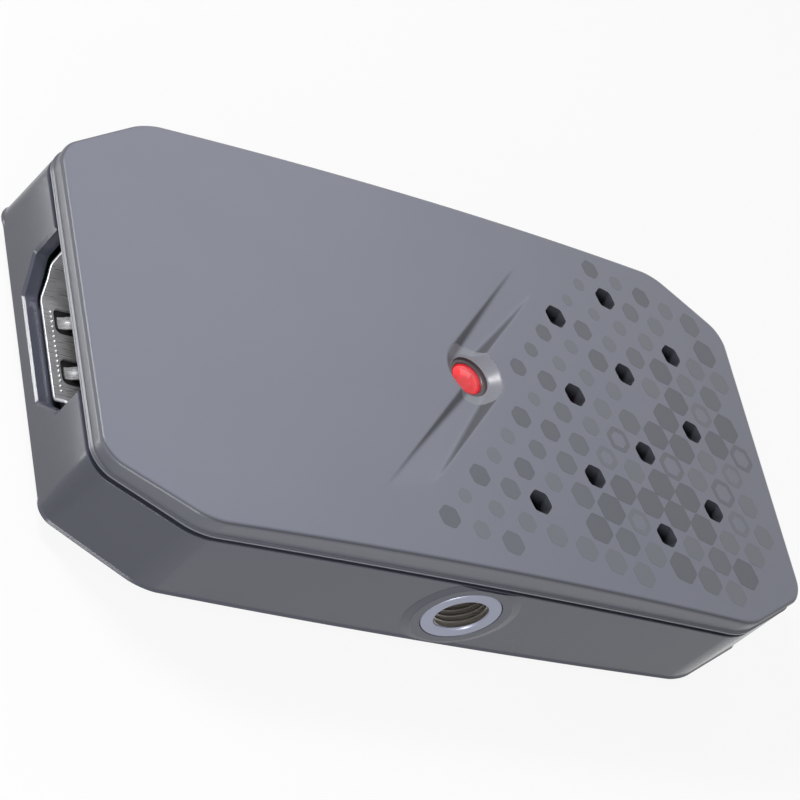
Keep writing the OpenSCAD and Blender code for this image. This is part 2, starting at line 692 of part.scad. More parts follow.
front_cover();
rear_shell();
light_pipe();
thread_insert();
rubber_feet();
case_screws();
board_screws();
circuit_board();
hdmi_shell();
hdmi_tongue();
hdmi_contacts();
usb_shell();
usb_tongue();
usb_contacts();
status_led();
video_processor();
thermal_pad();
heatsink();
hdmi_receiver();
memory_chip();
flash_chip();
crystal();
power_inductors();
voltage_regulators();
capacitors();
resistor_arrays();
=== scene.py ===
"""Looks of a small video capture box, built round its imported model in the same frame.

Sizes are in millimetres, as in the part's source, and every mesh is brought to metres
when it becomes a piece. The studio is in metres. The box lies on its feet, cover face up.
"""

import json
import logging
import math
from dataclasses import dataclass, field
from enum import Enum
from typing import Iterable, Iterator, Sequence

import bmesh
import bpy
from mathutils import Matrix, Vector

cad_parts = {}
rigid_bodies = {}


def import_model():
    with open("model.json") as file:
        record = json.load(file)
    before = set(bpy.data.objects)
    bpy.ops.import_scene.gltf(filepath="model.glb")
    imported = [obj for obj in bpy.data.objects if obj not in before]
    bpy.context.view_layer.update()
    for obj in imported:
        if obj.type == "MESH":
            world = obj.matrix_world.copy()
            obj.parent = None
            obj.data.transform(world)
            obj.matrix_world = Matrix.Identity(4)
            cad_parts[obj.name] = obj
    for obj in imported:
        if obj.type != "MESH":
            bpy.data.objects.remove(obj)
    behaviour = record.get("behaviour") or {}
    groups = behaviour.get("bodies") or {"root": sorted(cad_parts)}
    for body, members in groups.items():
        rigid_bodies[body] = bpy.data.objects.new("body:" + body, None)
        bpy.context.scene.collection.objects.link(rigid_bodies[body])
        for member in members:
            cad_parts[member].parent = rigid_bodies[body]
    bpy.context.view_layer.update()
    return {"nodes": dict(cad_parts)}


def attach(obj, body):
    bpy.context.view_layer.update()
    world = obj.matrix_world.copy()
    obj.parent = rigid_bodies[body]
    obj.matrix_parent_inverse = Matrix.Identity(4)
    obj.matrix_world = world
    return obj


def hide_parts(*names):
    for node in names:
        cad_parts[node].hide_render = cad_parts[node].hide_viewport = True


BMesh = bmesh.types.BMesh
BMFace = bmesh.types.BMFace
BMEdge = bmesh.types.BMEdge
BMVert = bmesh.types.BMVert
NodeTree = bpy.types.NodeTree
Socket = bpy.types.NodeSocket
Pair = tuple[float, float]
Triple = tuple[float, float, float]
Colour = tuple[float, float, float]

MM = 0.001
BODY = "root"
LOG = logging.getLogger("capture_box")
CORNERS = tuple((sx, sy) for sx in (-1, 1) for sy in (-1, 1))
# Distances under which a corner lies on a plane, two corners are one, and a corner lies on its level
ON_PLANE, WELD, TOUCH = 1e-5, 1e-4, 1e-3
# Least share of a normal along an axis for a face to count as square to it
SQUARE = 0.9
# Steps round turned pieces
RING_STEPS, BORE_STEPS, FOOT_STEPS, LENS_STEPS, SCREW_STEPS, POST_STEPS = 96, 72, 56, 48, 40, 32


def smooth_step(t: float) -> float:
    """Gives an eased share between 0 and 1."""
    t = min(max(t, 0.0), 1.0)
    return t * t * (3.0 - 2.0 * t)


def soft_min(a: float, b: float, reach: float) -> float:
    """Gives the smaller of two numbers, rounded off where they differ by less than the reach."""
    h = min(max(0.5 + 0.5 * (b - a) / reach, 0.0), 1.0)
    return b + (a - b) * h - reach * h * (1.0 - h)


# Mesh helpers


def geometry_of(faces: Iterable[BMFace]) -> list:
    """Lists faces with their edges and corners, as the mesh operators want them."""
    faces = list(faces)
    return [*faces, *{e for f in faces for e in f.edges}, *{v for f in faces for v in f.verts}]


def upright_edges(bm: BMesh) -> list[BMEdge]:
    """Lists the edges of a prism that don't lie flat."""
    return [e for e in bm.edges if abs(e.verts[0].co.z - e.verts[1].co.z) > TOUCH]


def slice_faces(
    bm: BMesh, faces: Iterable[BMFace], point: Sequence[float], normal: Sequence[float], clear: bool = False
) -> list[BMFace]:
    """Splits faces along a plane.

    Args:
        bm: Mesh that holds the faces.
        faces: Faces to split.
        point: Point on the plane.
        normal: Normal of the plane.
        clear: Whether what lies in front of the plane is dropped.

    Returns:
        The faces on both sides of the plane.
    """
    made = bmesh.ops.bisect_plane(
        bm, geom=geometry_of(faces), dist=ON_PLANE, plane_co=point, plane_no=normal, clear_outer=clear
    )["geom"]
    return [g for g in made if isinstance(g, BMFace)]


def push_faces(bm: BMesh, faces: Sequence[BMFace], way: Triple) -> list[BMFace]:
    """Extrudes faces along a vector.

    Args:
        bm: Mesh that holds the faces.
        faces: Faces to extrude.
        way: Way that the new faces move.

    Returns:
        The moved faces.
    """
    made = bmesh.ops.extrude_face_region(bm, geom=geometry_of(faces))["geom"]
    bmesh.ops.translate(bm, vec=way, verts=[g for g in made if isinstance(g, BMVert)])
    return [g for g in made if isinstance(g, BMFace)]


def soften(bm: BMesh, edges: Iterable[BMEdge], offset: float, segments: int) -> None:
    """Rounds edges from an offset on both sides, in so many steps."""
    bmesh.ops.bevel(
        bm, geom=list(edges), offset=offset, offset_type="OFFSET", segments=segments, profile=0.5,
        affect="EDGES", material=-1, clamp_overlap=True,
    )


def round_corners(bm: BMesh, corners: Iterable[BMVert], offset: float, segments: int) -> None:
    """Rounds corners of a flat outline from an offset on both sides, in so many steps."""
    bmesh.ops.bevel(
        bm, geom=list(corners), offset=offset, offset_type="ABSOLUTE", segments=segments, profile=0.5,
        affect="VERTICES", material=-1, clamp_overlap=True,
    )


def absorb(bm: BMesh, other: BMesh, material: int = 0) -> None:
    """Adds another mesh to a mesh and frees it.

    Args:
        bm: Mesh that grows.
        other: Mesh that is added.
        material: Number of the material slot that the added faces take.
    """
    for face in other.faces:
        face.material_index = material
    sheet = bpy.data.meshes.new("passing")
    other.to_mesh(sheet)
    other.free()
    bm.from_mesh(sheet)
    bpy.data.meshes.remove(sheet)


def place(bm: BMesh, matrix: Matrix) -> BMesh:
    """Moves a whole mesh and gives it back."""
    bmesh.ops.transform(bm, matrix=matrix, verts=bm.verts)
    return bm


def shift(bm: BMesh, x: float, y: float = 0.0, z: float = 0.0) -> BMesh:
    """Moves a whole mesh along the axes and gives it back."""
    return place(bm, Matrix.Translation((x, y, z)))


def lathe(profile: Sequence[Pair], steps: int) -> BMesh:
    """Turns a profile about the Z axis.

    Args:
        profile: Points of radius and height. A first point that comes again at the end closes it.
        steps: Number of steps round the axis.

    Returns:
        The turned mesh.
    """
    bm = bmesh.new()
    verts = [bm.verts.new((r, 0.0, z)) for r, z in profile]
    edges = [bm.edges.new(pair) for pair in zip(verts, verts[1:])]
    bmesh.ops.spin(
        bm, geom=[*verts, *edges], cent=(0, 0, 0), axis=(0, 0, 1), angle=math.tau, steps=steps,
        use_merge=True,
    )
    bmesh.ops.remove_doubles(bm, verts=bm.verts, dist=WELD)
    bmesh.ops.recalc_face_normals(bm, faces=bm.faces)
    return bm


def cylinder(radius: float, low: float, high: float, steps: int) -> BMesh:
    """Makes an upright cylinder between two heights."""
    return lathe([(0, low), (radius, low), (radius, high), (0, high)], steps)


def slab(x: float, y: float, z: float) -> BMesh:
    """Makes a block that stands on the XY plane.

    Args:
        x: Size along X.
        y: Size along Y.
        z: Height.

    Returns:
        The block.
    """
    bm = bmesh.new()
    bmesh.ops.create_cube(
        bm, size=1.0, matrix=Matrix.Translation((0, 0, z / 2)) @ Matrix.Diagonal((x, y, z, 1))
    )
    return bm


def flat_grid(x: float, y: float, columns: int = 1, rows: int = 1) -> BMesh:
    """Makes a flat rectangle of cells about the origin.

    Args:
        x: Size along X.
        y: Size along Y.
        columns: Number of cells along X.
        rows: Number of cells along Y.

    Returns:
        The rectangle.
    """
    bm = bmesh.new()
    bmesh.ops.create_grid(bm, x_segments=columns, y_segments=rows, size=0.5)
    bmesh.ops.scale(bm, vec=(x, y, 1), verts=bm.verts)
    return bm


def hex_prism(across: float, turn: float, low: float, high: float) -> BMesh:
    """Makes an upright prism with six sides.

    Args:
        across: Width across its flats.
        turn: Direction of one of its corners, in radians.
        low: Height of its foot.
        high: Height of its top.

    Returns:
        The prism.
    """
    bm = bmesh.new()
    radius = across / math.sqrt(3)
    bmesh.ops.create_cone(
        bm, cap_ends=True, segments=6, radius1=radius, radius2=radius, depth=high - low,
        matrix=Matrix.Translation((0, 0, (low + high) / 2)) @ Matrix.Rotation(turn - math.pi / 2, 4, "Z"),
    )
    return bm


def carve(bm: BMesh, cutter: BMesh) -> BMesh:
    """Cuts a closed mesh out of another one and frees both.

    Args:
        bm: Mesh that is cut.
        cutter: Mesh that is taken away.

    Returns:
        The cut mesh.
    """
    objects = []
    for name, source in (("carved", bm), ("cutter", cutter)):
        sheet = bpy.data.meshes.new(name)
        source.to_mesh(sheet)
        source.free()
        objects.append(bpy.data.objects.new(name, sheet))
        bpy.context.scene.collection.objects.link(objects[-1])
    body, tool = objects
    step = body.modifiers.new("carve", "BOOLEAN")
    step.object = tool
    step.operation = "DIFFERENCE"
    step.solver = "EXACT"
    bpy.context.view_layer.update()
    done = body.evaluated_get(bpy.context.evaluated_depsgraph_get())
    out = bmesh.new()
    out.from_mesh(done.to_mesh())
    done.to_mesh_clear()
    for obj in objects:
        sheet = obj.data
        bpy.data.objects.remove(obj)
        bpy.data.meshes.remove(sheet)
    return out


# Node helpers


@dataclass
class NodeSheet:
    """A node tree with short calls for adding nodes and joining them."""

    tree: NodeTree

    @classmethod
    def of(cls, owner: bpy.types.Material | bpy.types.World) -> "NodeSheet":
        """Empties the nodes of a material or a world.

        Args:
            owner: The material or world.

        Returns:
            The sheet of its nodes.
        """
        owner.use_nodes = True
        owner.node_tree.nodes.clear()
        return cls(owner.node_tree)

    def add(self, kind: str, inputs: dict | None = None, **settings: object) -> bpy.types.Node:
        """Adds a node.

        Args:
            kind: Blender's name of the node's type.
            inputs: Values or sockets for its inputs, by name or number.
            **settings: Properties of the node itself.

        Returns:
            The new node.
        """
        node = self.tree.nodes.new(kind)
        for key, value in settings.items():
            setattr(node, key, value)
        for key, value in (inputs or {}).items():
            if isinstance(value, Socket):
                self.tree.links.new(value, node.inputs[key])
            else:
                node.inputs[key].default_value = value
        return node

    def blend(self, share: object, a: object, b: object) -> Socket:
        """Mixes two colours by the share of the second one."""
        return self.add("ShaderNodeMix", {0: share, 6: a, 7: b}, data_type="RGBA").outputs[2]

    def ramp(self, value: Socket, low: float, high: float, to_low: object, to_high: object) -> Socket:
        """Maps a value from the range of low and high to another range."""
        ends = {1: low, 2: high, 3: to_low, 4: to_high}
        return self.add("ShaderNodeMapRange", {"Value": value, **ends}).outputs[0]

    def combine(self, operation: str, a: Socket, b: Socket) -> Socket:
        """Combines two values by one of Blender's named operations."""
        return self.add("ShaderNodeMath", {0: a, 1: b}, operation=operation).outputs[0]

    def noise(self, spot: Socket, scale: object, detail: float) -> Socket:
        """Adds a noise texture and gives its value."""
        return self.add("ShaderNodeTexNoise", {"Vector": spot, "Scale": scale, "Detail": detail}).outputs[0]


class Effect(Enum):
    """Surface effects that several finishes share."""

    GRAIN = "moulded_grain"
    DRIFT = "tone_drift"
    STREAK = "drawn_streaks"


@dataclass
class EffectShelf:
    """Makes each shared node group once."""

    broad_scale: float = 120.0
    grain_range: Pair = (0.1, 0.45)
    drift_range: Pair = (0.35, 0.65)
    streak_scale: Triple = (400.0, 6000.0, 6000.0)
    streak_range: Pair = (0.3, 0.7)
    made: dict[Effect, NodeTree] = field(default_factory=dict)

    def get(self, effect: Effect) -> NodeTree:
        """Gives the node group of an effect, and makes it the first time.

        Args:
            effect: The effect wanted.

        Returns:
            Its node group.
        """
        if effect not in self.made:
            maker = {Effect.GRAIN: self.grain, Effect.DRIFT: self.drift, Effect.STREAK: self.streak}[effect]
            self.made[effect] = bpy.data.node_groups.new(effect.value, "ShaderNodeTree")
            maker(self.made[effect])
        return self.made[effect]

    @staticmethod
    def sockets(tree: NodeTree, inputs: dict[str, object], outputs: dict[str, str]) -> tuple:
        """Gives a group its named sockets.

        Args:
            tree: The group.
            inputs: Names and default values. None stands for a vector that is always joined.
            outputs: Names of what it puts out, and the last word of their kinds.

        Returns:
            Its sheet, its input node and its output node.
        """
        for name, value in inputs.items():
            kind = {float: "NodeSocketFloat", tuple: "NodeSocketColor"}.get(type(value), "NodeSocketVector")
            made = tree.interface.new_socket(name, in_out="INPUT", socket_type=kind)
            if value is not None:
                made.default_value = value
        for name, kind in outputs.items():
            tree.interface.new_socket(name, in_out="OUTPUT", socket_type="NodeSocket" + kind)
        sheet = NodeSheet(tree)
        return sheet, sheet.add("NodeGroupInput").outputs, sheet.add("NodeGroupOutput").inputs

    def grain(self, tree: NodeTree) -> None:
        """Builds the fine pebbled texture of moulded plastic or rubber.

        Args:
            tree: The empty group.
        """
        sheet, (spot, scale, low, high, *_), results = self.sockets(
            tree, {"Vector": None, "Scale": 9000.0, "Low": 0.4, "High": 0.5},
            {"Height": "Float", "Roughness": "Float"},
        )
        fine = sheet.noise(spot, scale, 3.0)
        pits = sheet.add("ShaderNodeTexVoronoi", {"Vector": spot, "Scale": scale}).outputs[0]
        both = sheet.combine("MULTIPLY", fine, sheet.noise(spot, self.broad_scale, 4.0))
        tree.links.new(sheet.combine("ADD", fine, pits), results[0])
        tree.links.new(sheet.ramp(both, *self.grain_range, low, high), results[1])

    def drift(self, tree: NodeTree) -> None:
        """Builds a slow wander between two tones of one colour.

        Args:
            tree: The empty group.
        """
        grey = (0.5, 0.5, 0.5, 1.0)
        sheet, (spot, tone, other, scale, *_), results = self.sockets(
            tree, {"Vector": None, "Tone": grey, "Other Tone": grey, "Scale": 60.0}, {"Color": "Color"}
        )
        share = sheet.ramp(sheet.noise(spot, scale, 5.0), *self.drift_range, 0.0, 1.0)
        tree.links.new(sheet.blend(share, tone, other), results[0])

    def streak(self, tree: NodeTree) -> None:
        """Builds the long fine streaks of drawn or rolled metal.

        Args:
            tree: The empty group.
        """
        sheet, (spot, low, high, *_), results = self.sockets(
            tree, {"Vector": None, "Low": 0.2, "High": 0.35}, {"Height": "Float", "Roughness": "Float"}
        )
        lines = sheet.add("ShaderNodeMapping", {"Vector": spot, "Scale": self.streak_scale}).outputs[0]
        height = sheet.noise(lines, 1.0, 3.0)
        tree.links.new(height, results[0])
        tree.links.new(sheet.ramp(height, *self.streak_range, low, high), results[1])


SHELF = EffectShelf()


@dataclass(frozen=True)
class Finish:
    """A surface finish: two near tones, a grain and the shader's plain numbers.

    Sockets holds constants of the shader, glow is a colour of its own light, and the last two fields
    give painted shade: a darker tone where the surface leans, between two upward shares of the normal.
    """

    name: str
    tone: Colour
    other: Colour
    rough: Pair = (0.4, 0.5)
    grain: Effect = Effect.GRAIN
    grain_scale: float = 9000.0
    bump: float = 0.05
    bump_depth: float = 0.00002
    drift_scale: float = 60.0
    sockets: dict = field(default_factory=dict, hash=False, compare=False)
    glow: Colour | None = None
    # Painted shade where the surface leans: its tone, and the upward shares of the normal over which it
    # comes in
    slope_shade: Colour | None = None
    slope_shade_range: Pair = (0.98, 0.76)

    def material(self) -> bpy.types.Material:
        """Gives the finish's material, and makes it the first time.

        Returns:
            The material.
        """
        label = "finish_" + self.name
        if label not in bpy.data.materials:
            sheet = NodeSheet.of(bpy.data.materials.new(label))
            shader = sheet.add("ShaderNodeBsdfPrincipled", {**self.sockets, **self.surface(sheet)})
            sheet.add("ShaderNodeOutputMaterial", {"Surface": shader.outputs[0]})
        return bpy.data.materials[label]

    def surface(self, sheet: NodeSheet) -> dict[str, Socket]:
        """Makes the nodes of colour, roughness and relief.

        Args:
            sheet: The material's nodes.

        Returns:
            Sockets for the shader's inputs, by name.
        """
        where = sheet.add("ShaderNodeTexCoord").outputs
        tones = {"Tone": (*self.tone, 1.0), "Other Tone": (*self.other, 1.0), "Scale": self.drift_scale}
        tone = sheet.add(
            "ShaderNodeGroup", {"Vector": where["Object"], **tones}, node_tree=SHELF.get(Effect.DRIFT)
        ).outputs["Color"]
        values = {"Vector": where["Object"], "Low": self.rough[0], "High": self.rough[1]}
        if self.grain is Effect.GRAIN:
            values["Scale"] = self.grain_scale
        grain = sheet.add("ShaderNodeGroup", values, node_tree=SHELF.get(self.grain)).outputs
        relief = {"Height": grain["Height"], "Strength": self.bump, "Distance": self.bump_depth}
        made = {
            "Base Color": tone, "Roughness": grain["Roughness"],
            "Normal": sheet.add("ShaderNodeBump", relief).outputs["Normal"],
        }
        # Painted shade: the base colour darkens towards a set tone where the surface leans away from up, as
        # on groove walls
        if self.slope_shade:
            lean = sheet.add("ShaderNodeSeparateXYZ", {0: where["Normal"]}).outputs[2]
            share = sheet.ramp(lean, *self.slope_shade_range, 0.0, 1.0)
            made["Base Color"] = sheet.blend(share, tone, (*self.slope_shade, 1.0))
        if self.glow:
            made["Emission Color"] = sheet.blend(0.5, tone, (*self.glow, 1.0))
        return made


CASE_GRAIN = {"grain_scale": 14000.0, "drift_scale": 25.0}
METAL = {"Metallic": 1.0}

# The cover plastic; its leaning faces, such as the groove walls, take a painted shade
COVER = Finish(
    "cover_plastic", (0.204, 0.212, 0.270), (0.194, 0.202, 0.257), (0.32, 0.40), bump=0.22,
    slope_shade=(0.080, 0.084, 0.102), **CASE_GRAIN,
)
# A lighter copy of the cover plastic: painted highlight on the lip and on the cone round the light
COVER_HIGHLIGHT = Finish(
    "cover_painted_highlight", (0.265, 0.275, 0.318), (0.253, 0.263, 0.305), (0.28, 0.38), bump=0.15, **CASE_GRAIN
)
# A darker copy of the cover plastic: painted shade on the cover's side band
COVER_BAND_SHADE = Finish(
    "cover_band_painted_shade", (0.172, 0.179, 0.214), (0.163, 0.170, 0.204), (0.32, 0.40), bump=0.22, **CASE_GRAIN
)
# Painted shade in the light's bore: a dark tone with a faint painted red reflection of the lens
BORE_SHADE = Finish("bore_painted_shade", (0.101, 0.081, 0.090), (0.084, 0.069, 0.076), (0.36, 0.46), bump=0.12)
SHELL = Finish(
    "shell_plastic", (0.096, 0.102, 0.138), (0.089, 0.095, 0.129), (0.20, 0.28), bump=0.22, **CASE_GRAIN
)
TILE_STRONG = Finish("tile_strong", (0.118, 0.125, 0.151), (0.112, 0.120, 0.144), (0.40, 0.48), bump=0.12)
TILE_MID = Finish("tile_mid", (0.140, 0.148, 0.176), (0.133, 0.141, 0.168), (0.40, 0.48), bump=0.12)
TILE_FAINT = Finish("tile_faint", (0.174, 0.183, 0.214), (0.166, 0.175, 0.205), (0.40, 0.48), bump=0.12)
RUBBER = Finish(
    "foot_rubber", (0.018, 0.018, 0.020), (0.026, 0.026, 0.028), (0.7, 0.85), bump=0.5, grain_scale=5000.0
)
DARK_STEEL = Finish(
    "dark_steel", (0.055, 0.055, 0.060), (0.075, 0.075, 0.080), (0.28, 0.42), Effect.STREAK, bump=0.1,
    sockets=METAL,
)
BRIGHT_STEEL = Finish(
    "bright_steel", (0.60, 0.60, 0.62), (0.52, 0.52, 0.54), (0.22, 0.34), Effect.STREAK, bump=0.1,
    sockets=METAL,
)
SOCKET_STEEL = Finish(
    "socket_steel", (0.70, 0.70, 0.72), (0.58, 0.58, 0.60), (0.24, 0.38), Effect.STREAK, bump=0.15,
    drift_scale=400.0, sockets={"Metallic": 0.6},
)
SPRING_STEEL = Finish(
    "spring_steel", (0.86, 0.86, 0.88), (0.78, 0.78, 0.80), (0.20, 0.32), Effect.STREAK, bump=0.1,
    sockets={"Metallic": 0.5},
)
INSERT_METAL = Finish(
    "insert_metal", (0.31, 0.325, 0.41), (0.285, 0.30, 0.38), (0.30, 0.42), bump=0.08, sockets=METAL
)
THREAD_METAL = Finish(
    "thread_metal", (0.62, 0.59, 0.56), (0.50, 0.475, 0.45), (0.24, 0.36), bump=0.08, sockets=METAL
)
LENS = Finish(
    "light_lens", (0.78, 0.006, 0.014), (0.46, 0.003, 0.007), (0.06, 0.14), bump=0.35, grain_scale=900.0,
    drift_scale=700.0, glow=(1.0, 0.02, 0.035),
    sockets={"Emission Strength": 0.46, "Coat Weight": 0.4, "Coat Roughness": 0.04},
)
SOCKET_PLASTIC = Finish(
    "socket_plastic", (0.012, 0.012, 0.013), (0.018, 0.018, 0.019), (0.4, 0.55), bump=0.15
)
GOLD = Finish(
    "contact_gold", (0.78, 0.56, 0.24), (0.70, 0.48, 0.20), (0.18, 0.28), Effect.STREAK, bump=0.08,
    sockets=METAL,
)
ALUMINIUM = Finish(
    "sink_aluminium", (0.42, 0.43, 0.46), (0.36, 0.37, 0.40), (0.3, 0.45), Effect.STREAK, bump=0.2,
    sockets={"Metallic": 0.9},
)
CHIP = Finish(
    "chip_black", (0.016, 0.016, 0.018), (0.022, 0.022, 0.024), (0.45, 0.6), bump=0.3, grain_scale=6000.0
)
PAD = Finish(
    "thermal_pad", (0.30, 0.40, 0.50), (0.27, 0.37, 0.47), (0.7, 0.85), bump=0.3, grain_scale=4000.0
)
LAMP = Finish("lamp", (0.80, 0.78, 0.66), (0.74, 0.72, 0.60), (0.3, 0.4), bump=0.1)
FERRITE = Finish(
    "ferrite", (0.045, 0.045, 0.050), (0.060, 0.060, 0.064), (0.5, 0.65), bump=0.4, grain_scale=4000.0
)
CERAMIC = Finish("ceramic", (0.45, 0.33, 0.20), (0.38, 0.28, 0.17), (0.4, 0.5), bump=0.15)
BOARD = Finish(
    "board_mask", (0.006, 0.045, 0.026), (0.010, 0.062, 0.036), (0.28, 0.4), bump=0.3, grain_scale=2500.0,
    drift_scale=900.0,
)


def add_piece(
    name: str, bm: BMesh, finishes: Sequence[Finish], stands_for: Sequence[str] = (),
    crease: float = 34.0,
) -> None:
    """Turns a mesh in millimetres into a piece that rides on the box.

    Args:
        name: Name of the piece.
        bm: Its mesh, which is freed.
        finishes: Finishes in the order of the faces' material numbers.
        stands_for: Names of the CAD nodes that it replaces.
        crease: Angle in degrees past which an edge stays sharp.
    """
    bmesh.ops.scale(bm, vec=(MM, MM, MM), verts=bm.verts)
    bm.normal_update()
    for face in bm.faces:
        face.smooth = True
    for edge in bm.edges:
        edge.smooth = len(edge.link_faces) == 2 and edge.calc_face_angle(0.0) < math.radians(crease)
    mesh = bpy.data.meshes.new(name)
    bm.to_mesh(mesh)
    bm.free()
    for finish in finishes:
        mesh.materials.append(finish.material())
    piece = bpy.data.objects.new(name, mesh)
    bpy.context.scene.collection.objects.link(piece)
    piece.modifiers.new("even_normals", "WEIGHTED_NORMAL").keep_sharp = True
    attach(piece, BODY)
    if stands_for:
        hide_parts(*stands_for)
    LOG.info("%s: %d faces", name, len(mesh.polygons))


# The box


@dataclass(frozen=True)
class CaseForm:
    """Outline and crowned surfaces that the two shells share."""

    length: float = 78.0
    width: float = 40.4
    cut_x: float = 8.9
    cut_y: float = 4.8
    end_round: float = 3.0
    side_round: float = 6.0
    least_round: float = 0.4
    round_steps: int = 8
    face_mid: float = 13.15
    face_drop: float = 1.55
    rear_mid: float = 0.5
    rear_rise: float = 1.1
    cover_mid: float = 10.48
    shell_mid: float = 10.0
    seam_drop: float = 0.7
    wall: float = 1.35
    screws: Pair = (29.0, 15.2)
    tower_r: float = 2.5
    strip: float = 2.0

    def drop(self, x: float, height: float) -> float:
        """Gives an arc's fall at a place along the case, from its fall at the ends."""
        radius = ((self.length / 2) ** 2 + height**2) / (2 * height)
        return radius - math.sqrt(radius**2 - x * x)

    def face_z(self, x: float) -> float:
        """Gives the height of the cover face."""
        return self.face_mid - self.drop(x, self.face_drop)

    def rear_z(self, x: float) -> float:
        """Gives the height of the rear face."""
        return self.rear_mid + self.drop(x, self.rear_rise)

    def cut_normal(self) -> Vector:
        """Gives the outward normal of the corner cut between +X and +Y."""
        return Vector((self.cut_y, self.cut_x, 0.0)).normalized()

    def depth_in(self, x: float, y: float) -> float:
        """Gives the distance of a point from the nearest wall plane.

        Args:
            x: Place along the case.
            y: Place across it.

        Returns:
            The distance.
        """
        n = self.cut_normal()
        reach = n.x * self.length / 2 + n.y * (self.width / 2 - self.cut_y)
        return min(self.length / 2 - abs(x), self.width / 2 - abs(y), reach - n.x * abs(x) - n.y * abs(y))

    def plate(self, inset: float, end_round: float) -> BMesh:
        """Makes a flat plate on the case outline.

        Args:
            inset: Distance by which the outline is drawn in.
            end_round: Round of the corners at the ends, on the outline itself.

        Returns:
            A mesh of one face at height 0.
        """
        half_x, half_y = self.length / 2 - inset, self.width / 2 - inset
        bm = flat_grid(2 * half_x, 2 * half_y)
        n = self.cut_normal()
        corner = Vector((self.length / 2, self.width / 2 - self.cut_y, 0.0)) - n * inset
        for sx, sy in CORNERS:
            flip = Vector((sx, sy, 1))
            slice_faces(bm, bm.faces[:], corner * flip, n * flip, clear=True)
        turn = math.atan2(n.y, n.x)
        ends = [v for v in bm.verts if abs(v.co.x) > half_x - TOUCH]
        round_corners(
            bm, ends, max(end_round - inset, self.least_round) * math.tan(turn / 2), self.round_steps
        )
        inner = self.length / 2 - 2 * self.cut_x
        sides = [v for v in bm.verts if abs(v.co.y) > half_y - TOUCH and abs(v.co.x) > inner]
        spread = math.tan((math.pi / 2 - turn) / 2)
        round_corners(bm, sides, max(self.side_round - inset, self.least_round) * spread, self.round_steps)
        return bm

    def loft(self, profile: Sequence[Pair], rounds: Sequence[float] = ()) -> BMesh:
        """Draws a profile round the case outline, with flat faces on its first and last outlines.

        Args:
            profile: Points of inset from the outline and height.
            rounds: Round of the end corners at each point, if it is not the same everywhere.

        Returns:
            The closed mesh.
        """
        bm = bmesh.new()
        for (inset, z), end_round in zip(profile, rounds or [self.end_round] * len(profile)):
            absorb(bm, shift(self.plate(inset, end_round), 0, 0, z))
        plates = bm.faces[:]
        for low, high in zip(plates, plates[1:]):
            bmesh.ops.bridge_loops(bm, edges=[*low.edges, *high.edges])
        bmesh.ops.delete(bm, geom=plates[1:-1], context="FACES_ONLY")
        bmesh.ops.recalc_face_normals(bm, faces=bm.faces)
        return bm

    def strips(self, bm: BMesh, faces: Iterable[BMFace]) -> None:
        """Splits faces into strips across the case, so that they can follow the crown.

        Args:
            bm: Mesh that holds the faces.
            faces: Faces to split.
        """
        keep = set(faces)
        for i in range(1, int(self.length / self.strip)):
            x = -self.length / 2 + i * self.strip
            near = []
            for face in keep:
                if face.is_valid and min(v.co.x for v in face.verts) < x < max(v.co.x for v in face.verts):
                    near.append(face)
            keep.update(slice_faces(bm, near, (x, 0, 0), (1, 0, 0)))


